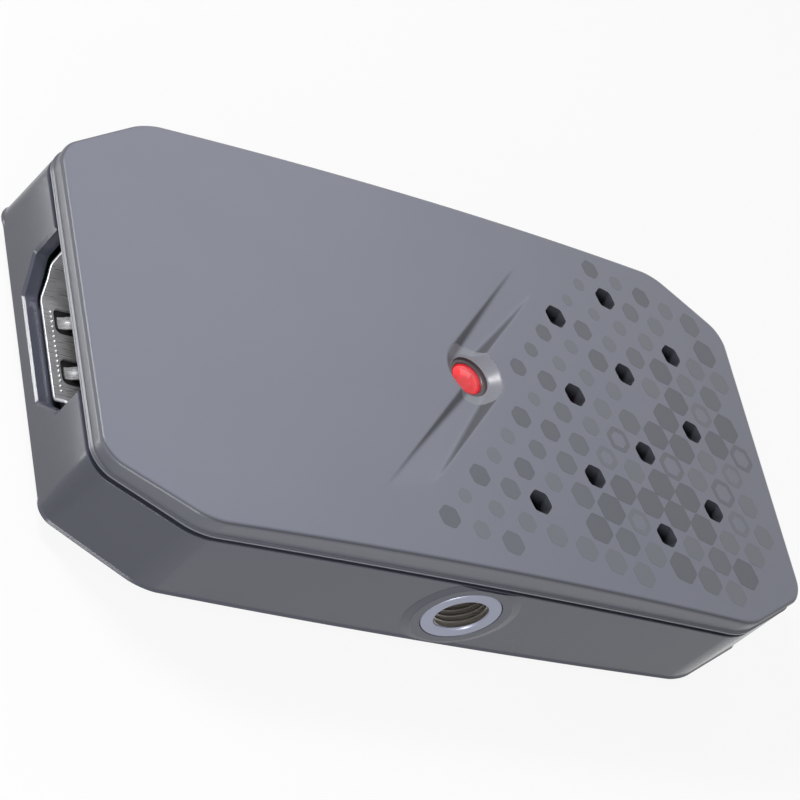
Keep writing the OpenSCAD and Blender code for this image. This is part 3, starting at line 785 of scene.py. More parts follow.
@dataclass
class FrontCover:
    """The cover with its sloping grooves, light recess, vents and honeycomb."""

    form: CaseForm
    lip_out: float = 0.1
    lip_h: float = 0.27
    lip_round: float = 0.05
    rim_round: float = 0.4
    rim_steps: int = 6
    band_h: float = 2.67
    band_tilt: float = 0.6
    undercut: float = 0.12
    plate_t: float = 1.6
    inner_split: float = 0.6
    skirt_gap: float = 1.45
    skirt_t: float = 0.8
    skirt_h: float = 0.9
    port_half: float = 8.4
    boss_half: float = 4.8
    light: Pair = (1.25, 0.86)
    # Radii of the cone and the bore round the light
    recess: Pair = (3.15, 2.1)
    recess_h: float = 1.2
    bore_edge: float = 0.005
    lens_hole: float = 1.65
    lens_ease: float = 0.1
    lens_pad_r: float = 4.0
    cut_below: float = 5.0
    cut_past: float = 3.0
    groove_a: float = math.radians(47.8)
    groove_h: float = 0.97
    # Lengths of each groove along its right and left edges, and where those edges lie
    upper_l: Pair = (14.8, 15.6)
    upper_edges: Pair = (0.17, 3.15)
    lower_l: Pair = (15.0, 19.6)
    lower_edges: Pair = (-3.15, 0.07)
    # How far the upper and the lower groove reach to the right of the light
    groove_clear: Pair = (0.4, 2.79)
    slope: float = 0.98
    edge_ease: float = 0.06
    foot_ease: float = 0.22
    patch_past: float = 0.6
    patch_half: float = 4.6
    patch_cells: int = 85
    patch_tilt: float = 0.999
    comb_pitch: float = 3.4
    vent_w: float = 2.3
    vent_corner: float = 0.25
    vent_edge: float = 1.6
    vent_rim: float = 4.6
    vent_pick: int = 7
    tile_edge: float = 1.9
    tile_rim: float = 1.2
    tile_t: float = 0.012
    tile_corner: float = 0.22
    tile_fill: float = 0.9
    # Where the tiles begin to grow, to the right of the light, and over what distance
    tile_grow: Pair = (2.0, 18.0)
    tile_least: float = 0.42
    tile_more: float = 0.38
    tile_spread: float = 0.028
    tile_full: float = 0.8
    ring_least: float = 2.2
    ring_w: float = 0.5

    def along(self) -> Vector:
        """Gives the direction of the grooves."""
        return Vector((math.cos(self.groove_a), math.sin(self.groove_a), 0.0))

    def across(self) -> Vector:
        """Gives the direction to the left of the grooves."""
        return Vector((-math.sin(self.groove_a), math.cos(self.groove_a), 0.0))

    def from_light(self, x: float, y: float) -> Pair:
        """Gives a point's places along and across the grooves, from the light."""
        d = Vector((x - self.light[0], y - self.light[1], 0.0))
        return d @ self.along(), d @ self.across()

    def light_gap(self, x: float, y: float) -> float:
        """Gives the distance of a point from the light's axis."""
        return math.hypot(x - self.light[0], y - self.light[1])

    def groove_depth(self, u: float, v: float) -> float:
        """Gives how deep the grooves lie under the face.

        Args:
            u: Place along the grooves, from the light.
            v: Place to the left of the light.

        Returns:
            The depth.
        """
        cone = (self.recess[0] - math.hypot(u, v)) * self.slope
        deepest = soft_min(cone, self.groove_h, self.edge_ease)
        grooves = ((1, self.upper_edges, self.upper_l), (-1, self.lower_edges, self.lower_l))
        for way, (right, left), (short, long) in grooves:
            away = u * way
            if away >= 0:
                share = min(max((v - right) / (left - right), 0.0), 1.0)
                floor = self.groove_h * (1 - away / (short + (long - short) * share))
                walls = min((left - v) * self.slope, (v - right) * self.slope)
                deepest = max(deepest, soft_min(walls, floor, self.foot_ease))
        return -soft_min(-deepest, 0.0, self.edge_ease)

    def beside(self, p: Pair, edge: float) -> bool:
        """Tells whether a point lies to the right of the grooves, past a clear strip."""
        u, v = self.from_light(*p)
        return -v > self.groove_clear[u <= 0] + edge

    def cells(self) -> Iterator[tuple[int, int, Pair]]:
        """Walks over the honeycomb's cells.

        Returns:
            Each cell's numbers along and across the grooves, and its centre.
        """
        turn = self.groove_a - math.pi / 3
        b = Vector((math.cos(turn), math.sin(turn), 0.0))
        span = math.ceil(self.form.length / self.comb_pitch)
        for i in range(-span, span + 1):
            for j in range(-span, span + 1):
                p = Vector((*self.light, 0.0)) + (self.along() * i + b * j) * self.comb_pitch
                yield i, j, (p.x, p.y)

    def is_vent(self, i: int, j: int, p: Pair) -> bool:
        """Tells whether a cell of the honeycomb is open.

        Args:
            i: Number of the cell along the grooves.
            j: Number of the cell across them.
            p: Centre of the cell.

        Returns:
            Whether it is a vent.
        """
        x, y = self.form.screws
        return (
            (i - 2 * (j + 1)) % self.vent_pick == 0
            and self.beside(p, self.vent_edge)
            and self.form.depth_in(*p) > self.vent_rim
            and math.hypot(abs(p[0]) - x, abs(p[1]) - y) > self.form.tower_r + self.vent_w
            and self.light_gap(*p) > self.lens_pad_r + self.vent_w
        )

    def shell_mesh(self) -> BMesh:
        """Makes the cover flat, with its lip, rim round, cavity and skirt.

        Returns:
            The mesh, with its lower edge at height 0.
        """
        out, ease, rim = self.lip_out, self.lip_round, self.rim_round
        ledge = self.lip_h + ease
        profile = [
            (ease - out, 0.0), (-out, ease), (-out, self.lip_h - ease), (ease - out, self.lip_h),
            (self.undercut - ease, ledge), (self.undercut, ledge + ease),
        ]
        for k in range(self.rim_steps + 1):
            t = math.pi / 2 * k / self.rim_steps
            profile.append((rim * (1 - math.cos(t)), self.band_h - rim * (1 - math.sin(t))))
        bm = self.form.loft(profile)
        under = [f for f in bm.faces if f.normal.z < -SQUARE and abs(f.calc_center_median().z) < TOUCH]
        bmesh.ops.inset_region(bm, faces=under, thickness=self.skirt_gap + out - ease, use_even_offset=True)
        ring = bmesh.ops.inset_region(bm, faces=under, thickness=self.skirt_t, use_even_offset=True)["faces"]
        push_faces(bm, under, (0, 0, self.band_h - self.plate_t))
        for way, half in (((0, 1, 0), self.port_half), ((1, 0, 0), self.boss_half)):
            for side in (1, -1):
                ring = slice_faces(bm, [f for f in ring if f.is_valid], Vector(way) * half * side, way)
        kept = []
        for face in ring:
            c = face.calc_center_median()
            at_port = c.x < -self.form.length / 4 and abs(c.y) < self.port_half
            at_boss = c.y < -self.form.width / 4 and abs(c.x) < self.boss_half
            if not at_port and not at_boss:
                kept.append(face)
        push_faces(bm, kept, (0, 0, -self.skirt_h))
        return bm

    def face_patch(self, bm: BMesh) -> None:
        """Splits the face into a fine patch round the grooves, and the rest into strips.

        Args:
            bm: The flat cover.
        """
        centre = Vector((*self.light, 0.0))
        along, across = self.along(), self.across()
        low, high = -max(self.lower_l) - self.patch_past, max(self.upper_l) + self.patch_past
        half, level = self.patch_half, self.band_h - TOUCH

        def top() -> list[BMFace]:
            """Lists the faces on the flat top."""
            return [
                f for f in bm.faces if f.normal.z > self.patch_tilt and f.calc_center_median().z > level
            ]

        def patch() -> list[BMFace]:
            """Lists the faces of the patch."""
            places = [(f, *self.from_light(*f.calc_center_median().xy)) for f in top()]
            return [f for f, u, v in places if low < u < high and -half < v < half]

        for u in (low, high):
            slice_faces(bm, top(), centre + along * u, along)
        for v in (-half, half):
            slice_faces(bm, top(), centre + across * v, across)
        count = round((high - low) / (2 * half))
        for k in range(1, count):
            slice_faces(bm, patch(), centre + along * (low + (high - low) * k / count), along)
        edges = list({e for f in patch() for e in f.edges})
        bmesh.ops.subdivide_edges(bm, edges=edges, cuts=self.patch_cells, use_grid_fill=True)
        fine = set(patch())
        self.form.strips(bm, [f for f in bm.faces if f not in fine])

    def crown(self, bm: BMesh) -> None:
        """Lifts the flat cover to its place, with its crowned face and its grooves.

        Args:
            bm: The flat cover.
        """
        split = (self.band_h - self.plate_t) * self.inner_split
        for vert in bm.verts:
            x, y, z = vert.co
            fall = self.form.drop(x, self.form.face_drop if z > split else self.form.seam_drop)
            if z > self.band_h - TOUCH:
                fall += self.groove_depth(*self.from_light(x, y))
            vert.co.z = self.form.cover_mid + z - fall

    def openings(self) -> BMesh:
        """Makes the cutter of the light's bore, the lens hole and the vents.

        Returns:
            The cutter.
        """
        face = self.form.face_z(self.light[0])
        bore, hole, ease = self.recess[1], self.lens_hole, self.lens_ease
        floor = face - self.recess_h
        low, high = floor - self.cut_below, face + self.cut_past
        profile = [
            (0, low), (hole, low), (hole, floor - ease), (hole + ease, floor), (bore, floor), (bore, high),
            (0, high),
        ]
        bm = shift(lathe(profile, BORE_STEPS), *self.light)
        low, high = self.form.cover_mid - self.cut_past, self.form.face_mid + self.cut_past
        for i, j, p in self.cells():
            if self.is_vent(i, j, p):
                vent = hex_prism(self.vent_w, self.groove_a, low, high)
                soften(vent, upright_edges(vent), self.vent_corner, 3)
                absorb(bm, shift(vent, *p))
        return bm

    def tiles(self) -> BMesh:
        """Makes the printed honeycomb as very thin tiles on the face.

        Returns:
            The tiles, in three tones.
        """
        bm = bmesh.new()
        start, reach = self.tile_grow
        for i, j, p in self.cells():
            near_light = self.light_gap(*p) < self.lens_pad_r + self.comb_pitch / 2
            if near_light or self.is_vent(i, j, p) or not self.beside(p, self.tile_edge):
                continue
            # An even mix of marks from 0 to 9, which gives each tile its size and its tone
            mark = (3 * i * i + 5 * j * j + 7 * i * j + i) % 10
            grow = smooth_step((-self.from_light(*p)[1] - start) / reach)
            share = self.tile_least + self.tile_more * grow + self.tile_spread * mark
            across = self.comb_pitch * self.tile_fill * min(1.0, share)
            at_rim = self.form.depth_in(*p) < self.tile_rim + across / 2
            if at_rim or mark == 9 and grow < self.tile_full:
                continue
            tile = hex_prism(across, self.groove_a, -self.tile_t, self.tile_t)
            soften(tile, upright_edges(tile), self.tile_corner, 2)
            if mark in (2, 5) and across > self.ring_least:
                caps = [f for f in tile.faces if abs(f.normal.z) > SQUARE]
                bmesh.ops.inset_region(tile, faces=caps, thickness=self.ring_w, use_even_offset=True)
                bmesh.ops.delete(tile, geom=caps, context="FACES")
            absorb(bm, shift(tile, *p), 0 if mark > 5 else 1 if mark > 2 else 2)
        for vert in bm.verts:
            vert.co.z += self.form.face_z(vert.co.x)
        return bm

    def finish_of(self, face: BMFace) -> int:
        """Gives the number of a face's finish.

        Args:
            face: A face of the finished cover.

        Returns:
            1, a painted highlight, on the lip and on the cone round the light; 2, painted shade, in the
            light's bore; 3, painted shade, on the band; else 0.
        """
        x, y, z = face.calc_center_median()
        away = self.light_gap(x, y)
        if away < self.recess[1] + self.bore_edge:
            return 2
        lip = self.form.cover_mid - self.form.drop(x, self.form.seam_drop) + self.lip_h + self.lip_round
        if self.form.depth_in(x, y) < self.form.wall / 2 and face.normal.z < self.band_tilt:
            return 1 if z < lip else 3
        return 1 if away < self.recess[0] else 0

    def build(self) -> None:
        """Builds and dresses the cover and its honeycomb."""
        bm = self.shell_mesh()
        self.face_patch(bm)
        self.crown(bm)
        bm = carve(bm, self.openings())
        for face in bm.faces:
            face.material_index = self.finish_of(face)
        # The lip and cone take a painted highlight, and the bore and the band take painted shade
        finishes = [COVER, COVER_HIGHLIGHT, BORE_SHADE, COVER_BAND_SHADE]
        add_piece("cover_form", bm, finishes, ["front_cover"])
        add_piece("cover_tiles", self.tiles(), [TILE_STRONG, TILE_MID, TILE_FAINT])


@dataclass
class RearShell:
    """The deep rear shell with its ports, tripod ring, towers and pockets."""

    form: CaseForm
    floor_t: float = 1.1
    swell: float = 0.08
    bead_out: float = 0.22
    bead_h: float = 0.42
    bead_corner: float = 1.5
    # Places across the input end between which the bead runs out
    bead_stop: Pair = (13.7, 14.2)
    bead_round: float = 0.1
    top_round: float = 0.08
    rim_fall: float = 0.05
    crease: float = 12.0
    port_half: float = 8.0
    port_narrow: float = 5.4
    port_floor: float = 3.205
    port_chamfer: float = 2.46
    port_round: float = 0.3
    port_past: float = 2.0
    knee: Pair = (0.85, 0.67)
    port_flare: float = 0.16
    port_reach: float = 3.0
    out_size: Pair = (9.54, 3.86)
    out_mid: float = 5.135
    axis_z: float = 5.6
    ring_y: float = -20.48
    ring_foot: float = 5.45
    ring_top: float = 4.65
    ring_ease: float = 0.03
    ring_edge: Pair = (0.06, 0.04)
    ring_lap: float = 0.02
    ring_root: Pair = (0.5, 0.6)
    trim: float = 0.04
    trim_h: float = 3.78
    bore_r: float = 3.72
    bore_l: float = 4.0
    cut_below: float = 2.0
    insert_l: float = 7.0
    boss_r: float = 4.45
    boss_end: float = 0.6
    head_r: float = 1.85
    head_z: float = 2.458
    head_flare: Pair = (0.5, 0.15)
    head_ease: Pair = (0.25, 0.15)
    head_cut: float = 2.5
    tower_z: float = 4.508
    screw_hole: float = 1.05
    feet: Pair = (22.5, 12.0)
    foot_r: float = 3.55
    foot_pocket: float = 0.35
    posts: Pair = (18.0, 14.2)
    post_r: float = 2.0
    post_top: float = 2.705
    # Radius and top of a peg
    peg: Pair = (0.9, 3.905)

    def shell_mesh(self) -> BMesh:
        """Makes the shell with the bead along its rear edge, its walls and its cavity.

        Returns:
            The mesh in its place.
        """
        height = self.form.shell_mid - self.form.rear_mid
        out, edge, r, top = -self.swell, -self.bead_out, self.bead_round, self.top_round
        profile = [
            (edge + 2 * r, 0.0), (edge + 0.6 * r, 0.2 * r), (edge, r), (edge, 1.6 * r), (out, self.bead_h),
            (out, height - top), (out + 0.3 * top, height - 0.3 * top), (out + top, height),
            (self.form.wall, height - self.rim_fall), (self.form.wall, self.floor_t),
        ]
        grow = (self.form.end_round - self.bead_corner) / height
        bm = self.form.loft(profile, [self.bead_corner + grow * z for _, z in profile])
        self.stop_bead(bm)
        self.form.strips(bm, bm.faces[:])
        for vert in bm.verts:
            share = vert.co.z / height
            rise = self.form.drop(vert.co.x, self.form.rear_rise)
            fall = self.form.drop(vert.co.x, self.form.seam_drop)
            vert.co.z += self.form.rear_mid + rise * (1 - share) - fall * share
        return bm

    def stop_bead(self, bm: BMesh) -> None:
        """Ends the bead short of the input end.

        Args:
            bm: The shell, still straight.
        """
        end = -self.form.length / 2 - self.swell
        for y in (side * stop for side in (-1, 1) for stop in self.bead_stop):
            near = [f for f in bm.faces if max(v.co.x for v in f.verts) < end + self.form.wall]
            slice_faces(bm, near, (0, y, 0), (0, 1, 0))
        for vert in bm.verts:
            if abs(vert.co.y) < self.bead_stop[0] + TOUCH:
                vert.co.x = max(vert.co.x, end)

    def flared(self, bm: BMesh, way: int, middle: float) -> BMesh:
        """Draws a port's outline through the wall, wider at its outer end.

        Args:
            bm: Flat outline of the port at X = 0.
            way: Side of the case, -1 or 1.
            middle: Height of the port's middle.

        Returns:
            The same mesh, now a cutter.
        """
        outer, wide = way * self.form.length / 2, 3 * self.port_flare
        shift(bm, outer + way * 2 * self.port_flare)
        front = push_faces(bm, bm.faces[:], (-way * wide, 0, 0))
        push_faces(bm, front, (-way * self.port_reach, 0, 0))
        for vert in bm.verts:
            if (vert.co.x - outer) * way > 0:
                vert.co += Vector((0, vert.co.y, vert.co.z - middle)).normalized() * wide
        bmesh.ops.recalc_face_normals(bm, faces=bm.faces)
        return bm

    def ports(self) -> BMesh:
        """Makes the cutters of the input and output openings.

        Returns:
            One mesh of both cutters.
        """
        low, step = self.port_floor, self.port_floor + self.port_chamfer
        bm = socket_plate(
            self.port_half, self.port_narrow, low, step, self.form.cover_mid + self.port_past, self.knee
        )
        round_corners(bm, [v for v in bm.verts if v.co.z < step + TOUCH], self.port_round, 3)
        self.flared(bm, -1, (low + self.form.cover_mid) / 2)
        absorb(bm, self.flared(shift(oval_plate(*self.out_size), 0, 0, self.out_mid), 1, self.out_mid))
        return bm

    def cutters(self) -> BMesh:
        """Makes all that is cut out of the shell.

        Returns:
            One mesh of separate cutters.
        """
        bm = self.ports()
        x, y = self.form.screws
        r, low, under = self.head_r, self.form.rear_z(x), -self.cut_below
        sink = [
            (0, under), (r + self.head_flare[0], under), (r + self.head_flare[1], low - self.head_ease[0]),
            (r, low + self.head_ease[1]), (r, low + self.head_cut), (0, low + self.head_cut),
        ]
        seat = self.form.rear_z(self.feet[0]) + self.foot_pocket
        for sx, sy in CORNERS:
            absorb(bm, shift(lathe(sink, SCREW_STEPS), sx * x, sy * y))
            pocket = cylinder(self.foot_r, under, seat, FOOT_STEPS)
            absorb(bm, shift(pocket, sx * self.feet[0], sy * self.feet[1]))
        absorb(bm, place(cylinder(self.bore_r, under, self.bore_l, BORE_STEPS), self.thread_place()))
        return bm

    def thread_place(self) -> Matrix:
        """Gives the place of the tripod thread's mouth, with Z inwards."""
        return Matrix.Translation((0, self.ring_y, self.axis_z)) @ Matrix.Rotation(-math.pi / 2, 4, "X")

    def ring(self) -> BMesh:
        """Makes the raised ring with its boss, trimmed to the height of the wall.

        Returns:
            The ring in its place.
        """
        wall = -self.form.width / 2 - self.ring_y
        end, inner = self.insert_l + self.boss_end, self.insert_l
        bore, top, foot, ease = self.bore_r, self.ring_top, self.ring_foot, self.ring_ease
        profile = [
            (bore, ease), (bore + ease, 0.0), (top - self.ring_edge[0], 0.0), (top, self.ring_edge[1]),
            (foot - ease, wall - self.swell - self.ring_lap), (foot, wall), (foot, wall + self.ring_root[0]),
            (self.boss_r, wall + self.ring_root[1]), (self.boss_r, end), (0, end), (0, inner), (bore, inner),
            (bore, ease),
        ]
        bm = place(lathe(profile, RING_STEPS), self.thread_place())
        for low in (self.form.shell_mid - self.trim, self.form.rear_mid + self.trim - self.trim_h):
            block = slab(3 * foot, 2 * self.form.wall, self.trim_h)
            bm = carve(bm, shift(block, 0, self.ring_y, low))
        return bm

    def inner_forms(self) -> BMesh:
        """Makes the ring, the screw towers and the board's posts, two of them with pegs.

        Returns:
            One mesh of separate forms.
        """
        bm = self.ring()
        x, y = self.form.screws
        r, out, hole, top = self.head_r, self.form.tower_r, self.screw_hole, self.tower_z
        foot = self.form.rear_z(x) + self.floor_t / 2
        tower = [
            (r, foot), (out, foot), (out, top), (hole, top), (hole, self.head_z), (r, self.head_z),
            (r, foot),
        ]
        foot = self.form.rear_z(self.posts[0]) + self.floor_t / 2
        post = [(0, foot), (self.post_r, foot), (self.post_r, self.post_top)]
        peg = [(self.peg[0], self.post_top), self.peg, (0, self.peg[1])]
        for sx, sy in CORNERS:
            absorb(bm, shift(lathe(tower, SCREW_STEPS), sx * x, sy * y))
            tip = peg if sx != sy else [(0, self.post_top)]
            absorb(bm, shift(lathe([*post, *tip], POST_STEPS), sx * self.posts[0], sy * self.posts[1]))
        return bm

    def build(self) -> None:
        """Builds and dresses the rear shell."""
        bm = carve(self.shell_mesh(), self.cutters())
        absorb(bm, self.inner_forms())
        add_piece("shell_form", bm, [SHELL], ["rear_shell"], self.crease)


def socket_plate(half: float, narrow: float, low: float, step: float, top: float, knee: Pair) -> BMesh:
    """Makes the flat outline of the input socket, narrow side down, in the YZ plane.

    Args:
        half: Half width of its straight upper sides.
        narrow: Half width of its floor.
        low: Height of its floor.
        step: Height where the straight sides end.
        top: Height of its top.
        knee: Width and height of the knee under the straight sides.

    Returns:
        A mesh of one face at X = 0.
    """
    bm = bmesh.new()
    side = [(narrow, low), (half - knee[0], step - knee[1]), (half, step), (half, top)]
    around = [*side, *((-y, z) for y, z in reversed(side))]
    bm.faces.new([bm.verts.new((0, y, z)) for y, z in around])
    return bm


def oval_plate(width: float, height: float) -> BMesh:
    """Makes a flat oval with round ends in the YZ plane.

    Args:
        width: Size along Y.
        height: Size along Z.

    Returns:
        A mesh of one face at X = 0.
    """
    bm = place(flat_grid(height, width), Matrix.Rotation(math.pi / 2, 4, "Y"))
    round_corners(bm, bm.verts[:], height / 2 - TOUCH, 10)
    return bm


def sleeve(bm: BMesh, length: float, sheet: float, rim_angle: float = 1.2, rim_share: float = 0.3) -> BMesh:
    """Draws a flat outline out along X to a sheet-metal sleeve, open at both ends.

    Args:
        bm: Mesh of one face, the inner outline.
        length: Length of the sleeve.
        sheet: Thickness of the metal, outwards.
        rim_angle: Angle in radians past which an edge at the ends is eased.
        rim_share: Share of the thickness that is eased.

    Returns:
        The same mesh, now the sleeve.
    """
    push_faces(bm, bm.faces[:], (length, 0, 0))
    bmesh.ops.recalc_face_normals(bm, faces=bm.faces)
    caps = [f for f in bm.faces if abs(f.normal.x) > SQUARE]
    bmesh.ops.delete(bm, geom=caps, context="FACES_ONLY")
    bmesh.ops.solidify(bm, geom=bm.faces[:], thickness=-sheet)
    bmesh.ops.recalc_face_normals(bm, faces=bm.faces)
    rims = [
        e for e in bm.edges
        if e.is_manifold and abs(e.verts[0].co.x - e.verts[1].co.x) < WELD
        and e.calc_face_angle(0.0) > rim_angle
    ]
    soften(bm, rims, sheet * rim_share, 2)
    return bm


@dataclass
class InputSocket:
    """The video input's metal sleeve with its springs, and the black plastic behind it."""

    shell: RearShell
    mouth_x: float = -37.65
    length: float = 11.0
    half: float = 7.0
    narrow: float = 5.0
    floor: float = 3.805
    top: float = 8.355
    straight: float = 2.4
    sheet: float = 0.3
    corner: float = 0.3
    slots: Pair = (3.0, -2.1)
    slot_size: Triple = (4.8, 2.6, 2.0)
    slot_x: float = 1.0
    slot_corner: float = 0.6
    tab_size: Pair = (3.6, 1.5)
    tab_cells: tuple[int, int] = (16, 4)
    tab_x: float = 0.45
    tab_t: float = 0.16
    tab_taper: float = 0.2
    tab_bow: float = 0.62
    tab_turn: float = 1.15
    tab_fall: float = 0.12
    tab_curl: Pair = (0.15, 0.6)
    tab_sink: float = 0.1
    dots: int = 17
    dot_pitch: float = 0.5
    dot_x: float = 0.77
    dot_y: float = -0.2
    dot_r: float = 0.13
    liner_size: Triple = (8.5, 9.6, 0.06)
    liner_x: float = 1.0
    board_top: float = 3.505

    def sleeve_mesh(self) -> BMesh:
        """Makes the metal sleeve with two spring slots in its floor.

        Returns:
            The sleeve.
        """
        step = self.top - self.straight
        bm = socket_plate(self.half, self.narrow, self.floor, step, self.top, self.shell.knee)
        round_corners(bm, bm.verts[:], self.corner, 3)
        shift(sleeve(bm, self.length, self.sheet), self.mouth_x)
        cutter = bmesh.new()
        x = self.mouth_x + self.slot_x + self.slot_size[0] / 2
        for y in self.slots:
            hole = slab(*self.slot_size)
            soften(hole, upright_edges(hole), self.slot_corner, 4)
            absorb(cutter, shift(hole, x, y, self.floor - self.slot_size[2] / 2))
        return carve(bm, cutter)

    def spring(self, y: float) -> BMesh:
        """Makes one bowed contact spring in its slot.

        Args:
            y: Place of the slot across the socket.

        Returns:
            The spring.
        """
        bm = flat_grid(*self.tab_size, *self.tab_cells)
        curl, curl_w = self.tab_curl
        for vert in bm.verts:
            t = vert.co.x / self.tab_size[0] + 0.5
            vert.co.y *= 1 - self.tab_taper + self.tab_taper * smooth_step(t)
            bow = self.tab_bow * math.sin(math.pi * min(1.0, t * self.tab_turn)) ** 2
            vert.co.z = bow - self.tab_fall * t - curl * (vert.co.y / curl_w) ** 2
        bmesh.ops.solidify(bm, geom=bm.faces[:], thickness=self.tab_t)
        bmesh.ops.recalc_face_normals(bm, faces=bm.faces)
        x = self.mouth_x + self.slot_x + self.tab_x + self.tab_size[0] / 2
        return shift(bm, x, y, self.floor - self.tab_sink)

    def build(self) -> None:
        """Builds and dresses the socket."""
        bm = self.sleeve_mesh()
        for y in self.slots:
            absorb(bm, self.spring(y), 2)
        for k in range(self.dots):
            dot = bmesh.new()
            bmesh.ops.create_uvsphere(dot, u_segments=10, v_segments=6, radius=self.dot_r)
            y = (k - (self.dots - 1) / 2) * self.dot_pitch + self.dot_y
            absorb(bm, shift(dot, self.mouth_x + self.dot_x, y, self.floor), 2)
        x = self.mouth_x + self.liner_x + self.liner_size[0] / 2
        absorb(bm, shift(slab(*self.liner_size), x, 0, self.board_top), 1)
        finishes = [SOCKET_STEEL, SOCKET_PLASTIC, SPRING_STEEL]
        add_piece("hdmi_sleeve", bm, finishes, ["hdmi_shell"])


@dataclass
class OutputSocket:
    """The output's metal sleeve."""

    shell: RearShell
    mouth_x: float = 38.7
    length: float = 7.35
    gap: float = 0.3
    sheet: float = 0.3

    def build(self) -> None:
        """Builds and dresses the sleeve."""
        inner = oval_plate(*(side - 2 * (self.gap + self.sheet) for side in self.shell.out_size))
        sleeve(inner, self.length, self.sheet)
        bm = shift(inner, self.mouth_x - self.length, 0, self.shell.out_mid)
        add_piece("usb_sleeve", bm, [SOCKET_STEEL], ["usb_shell"])


@dataclass
class ThreadInsert:
    """The metal insert with its tripod thread.

    The flanks and lands of a tooth are in shares of the pitch.
    """

    shell: RearShell
    outer: float = 3.7
    outer_ease: float = 0.1
    crest: float = 2.42
    crest_ease: float = 0.05
    root: float = 2.85
    lap: float = 0.05
    pitch: float = 0.56
    first_flank: Pair = (0.10, 0.42)
    land: Pair = (0.47, 0.58)
    last_flank: Pair = (0.63, 0.95)
    lead: float = 1.2
    face_in: float = 2.5
    face_ease: Triple = (0.02, 0.03, 0.05)
    mouth: float = 0.2
    mouth_lap: float = 0.02
    end_gap: float = 0.05
    steps: int = 48

    def thread(self) -> BMesh:
        """Makes the thread by turning and lifting one tooth.

        Returns:
            The inner wall of the thread, with its depth along Z.
        """
        p, root, crest, eased = self.pitch, self.root, self.crest, self.crest + self.crest_ease
        tooth = [
            (root, 0.0), (root, self.first_flank[0]), (eased, self.first_flank[1]), (crest, self.land[0]),
            (crest, self.land[1]), (eased, self.last_flank[0]), (root, self.last_flank[1]), (root, 1.0),
        ]
        bm = bmesh.new()
        verts = [bm.verts.new((r, 0.0, (share - self.lead) * p)) for r, share in tooth]
        edges = [bm.edges.new(pair) for pair in zip(verts, verts[1:])]
        turns = math.ceil(self.shell.insert_l / p) + 2
        bmesh.ops.spin(
            bm, geom=[*verts, *edges], cent=(0, 0, 0), axis=(0, 0, 1), dvec=(0, 0, p / self.steps),
            angle=math.tau * turns, steps=self.steps * turns,
        )
        bmesh.ops.remove_doubles(bm, verts=bm.verts, dist=WELD)
        for level, way in ((self.mouth - self.mouth_lap, -1), (self.shell.insert_l - self.end_gap, 1)):
            slice_faces(bm, bm.faces[:], (0, 0, level), (0, 0, way), clear=True)
        bmesh.ops.recalc_face_normals(bm, faces=bm.faces)
        outward = [f.normal.dot(Vector((*f.calc_center_median().xy, 0))) >= 0 for f in bm.faces]
        if sum(outward) * 2 > len(outward):
            bmesh.ops.reverse_faces(bm, faces=bm.faces)
        return bm

    def build(self) -> None:
        """Builds and dresses the insert."""
        end, wall, mouth = self.shell.insert_l, self.root + self.lap, self.mouth
        inner, outer, ease = self.face_in, self.outer, self.outer_ease
        low, high, deep = self.face_ease
        body = [
            (wall, mouth), (self.crest, mouth), (inner - low, deep), (inner + high, 0.0),
            (outer - ease, 0.0), (outer, ease), (outer, end), (wall, end), (wall, mouth),
        ]
        bm = lathe(body, RING_STEPS)
        absorb(bm, self.thread(), 1)
        place(bm, self.shell.thread_place())
        add_piece("insert_form", bm, [INSERT_METAL, THREAD_METAL], ["thread_insert"])


@dataclass
class StatusLight:
    """The red lens of the status light, on its pipe."""

    cover: FrontCover
    lens_r: float = 1.6
    dome: float = 0.5
    dome_steps: int = 10
    lens_drop: float = 0.1
    pad_t: float = 1.45
    # Radius and height of the collar
    collar: Pair = (2.3, 0.8)
    stem_r: float = 1.3
    foot_z: float = 4.255

    def build(self) -> None:
        """Builds and dresses the lens."""
        seat = self.cover.form.face_z(self.cover.light[0]) - self.cover.recess_h
        rim, pad = seat - self.lens_drop, seat - self.pad_t
        collar_r, low = self.collar[0], pad - self.collar[1]
        ball = (self.lens_r**2 + self.dome**2) / (2 * self.dome)
        profile = [
            (0, self.foot_z), (self.stem_r, self.foot_z), (self.stem_r, low), (collar_r, low),
            (collar_r, pad), (self.lens_r, pad), (self.lens_r, rim),
        ]
        for k in range(1, self.dome_steps + 1):
            r = self.lens_r * (1 - k / self.dome_steps)
            profile.append((r, rim + self.dome - ball + math.sqrt(ball * ball - r * r)))
        bm = shift(lathe(profile, LENS_STEPS), *self.cover.light)
        add_piece("lens_form", bm, [LENS], ["light_pipe"])


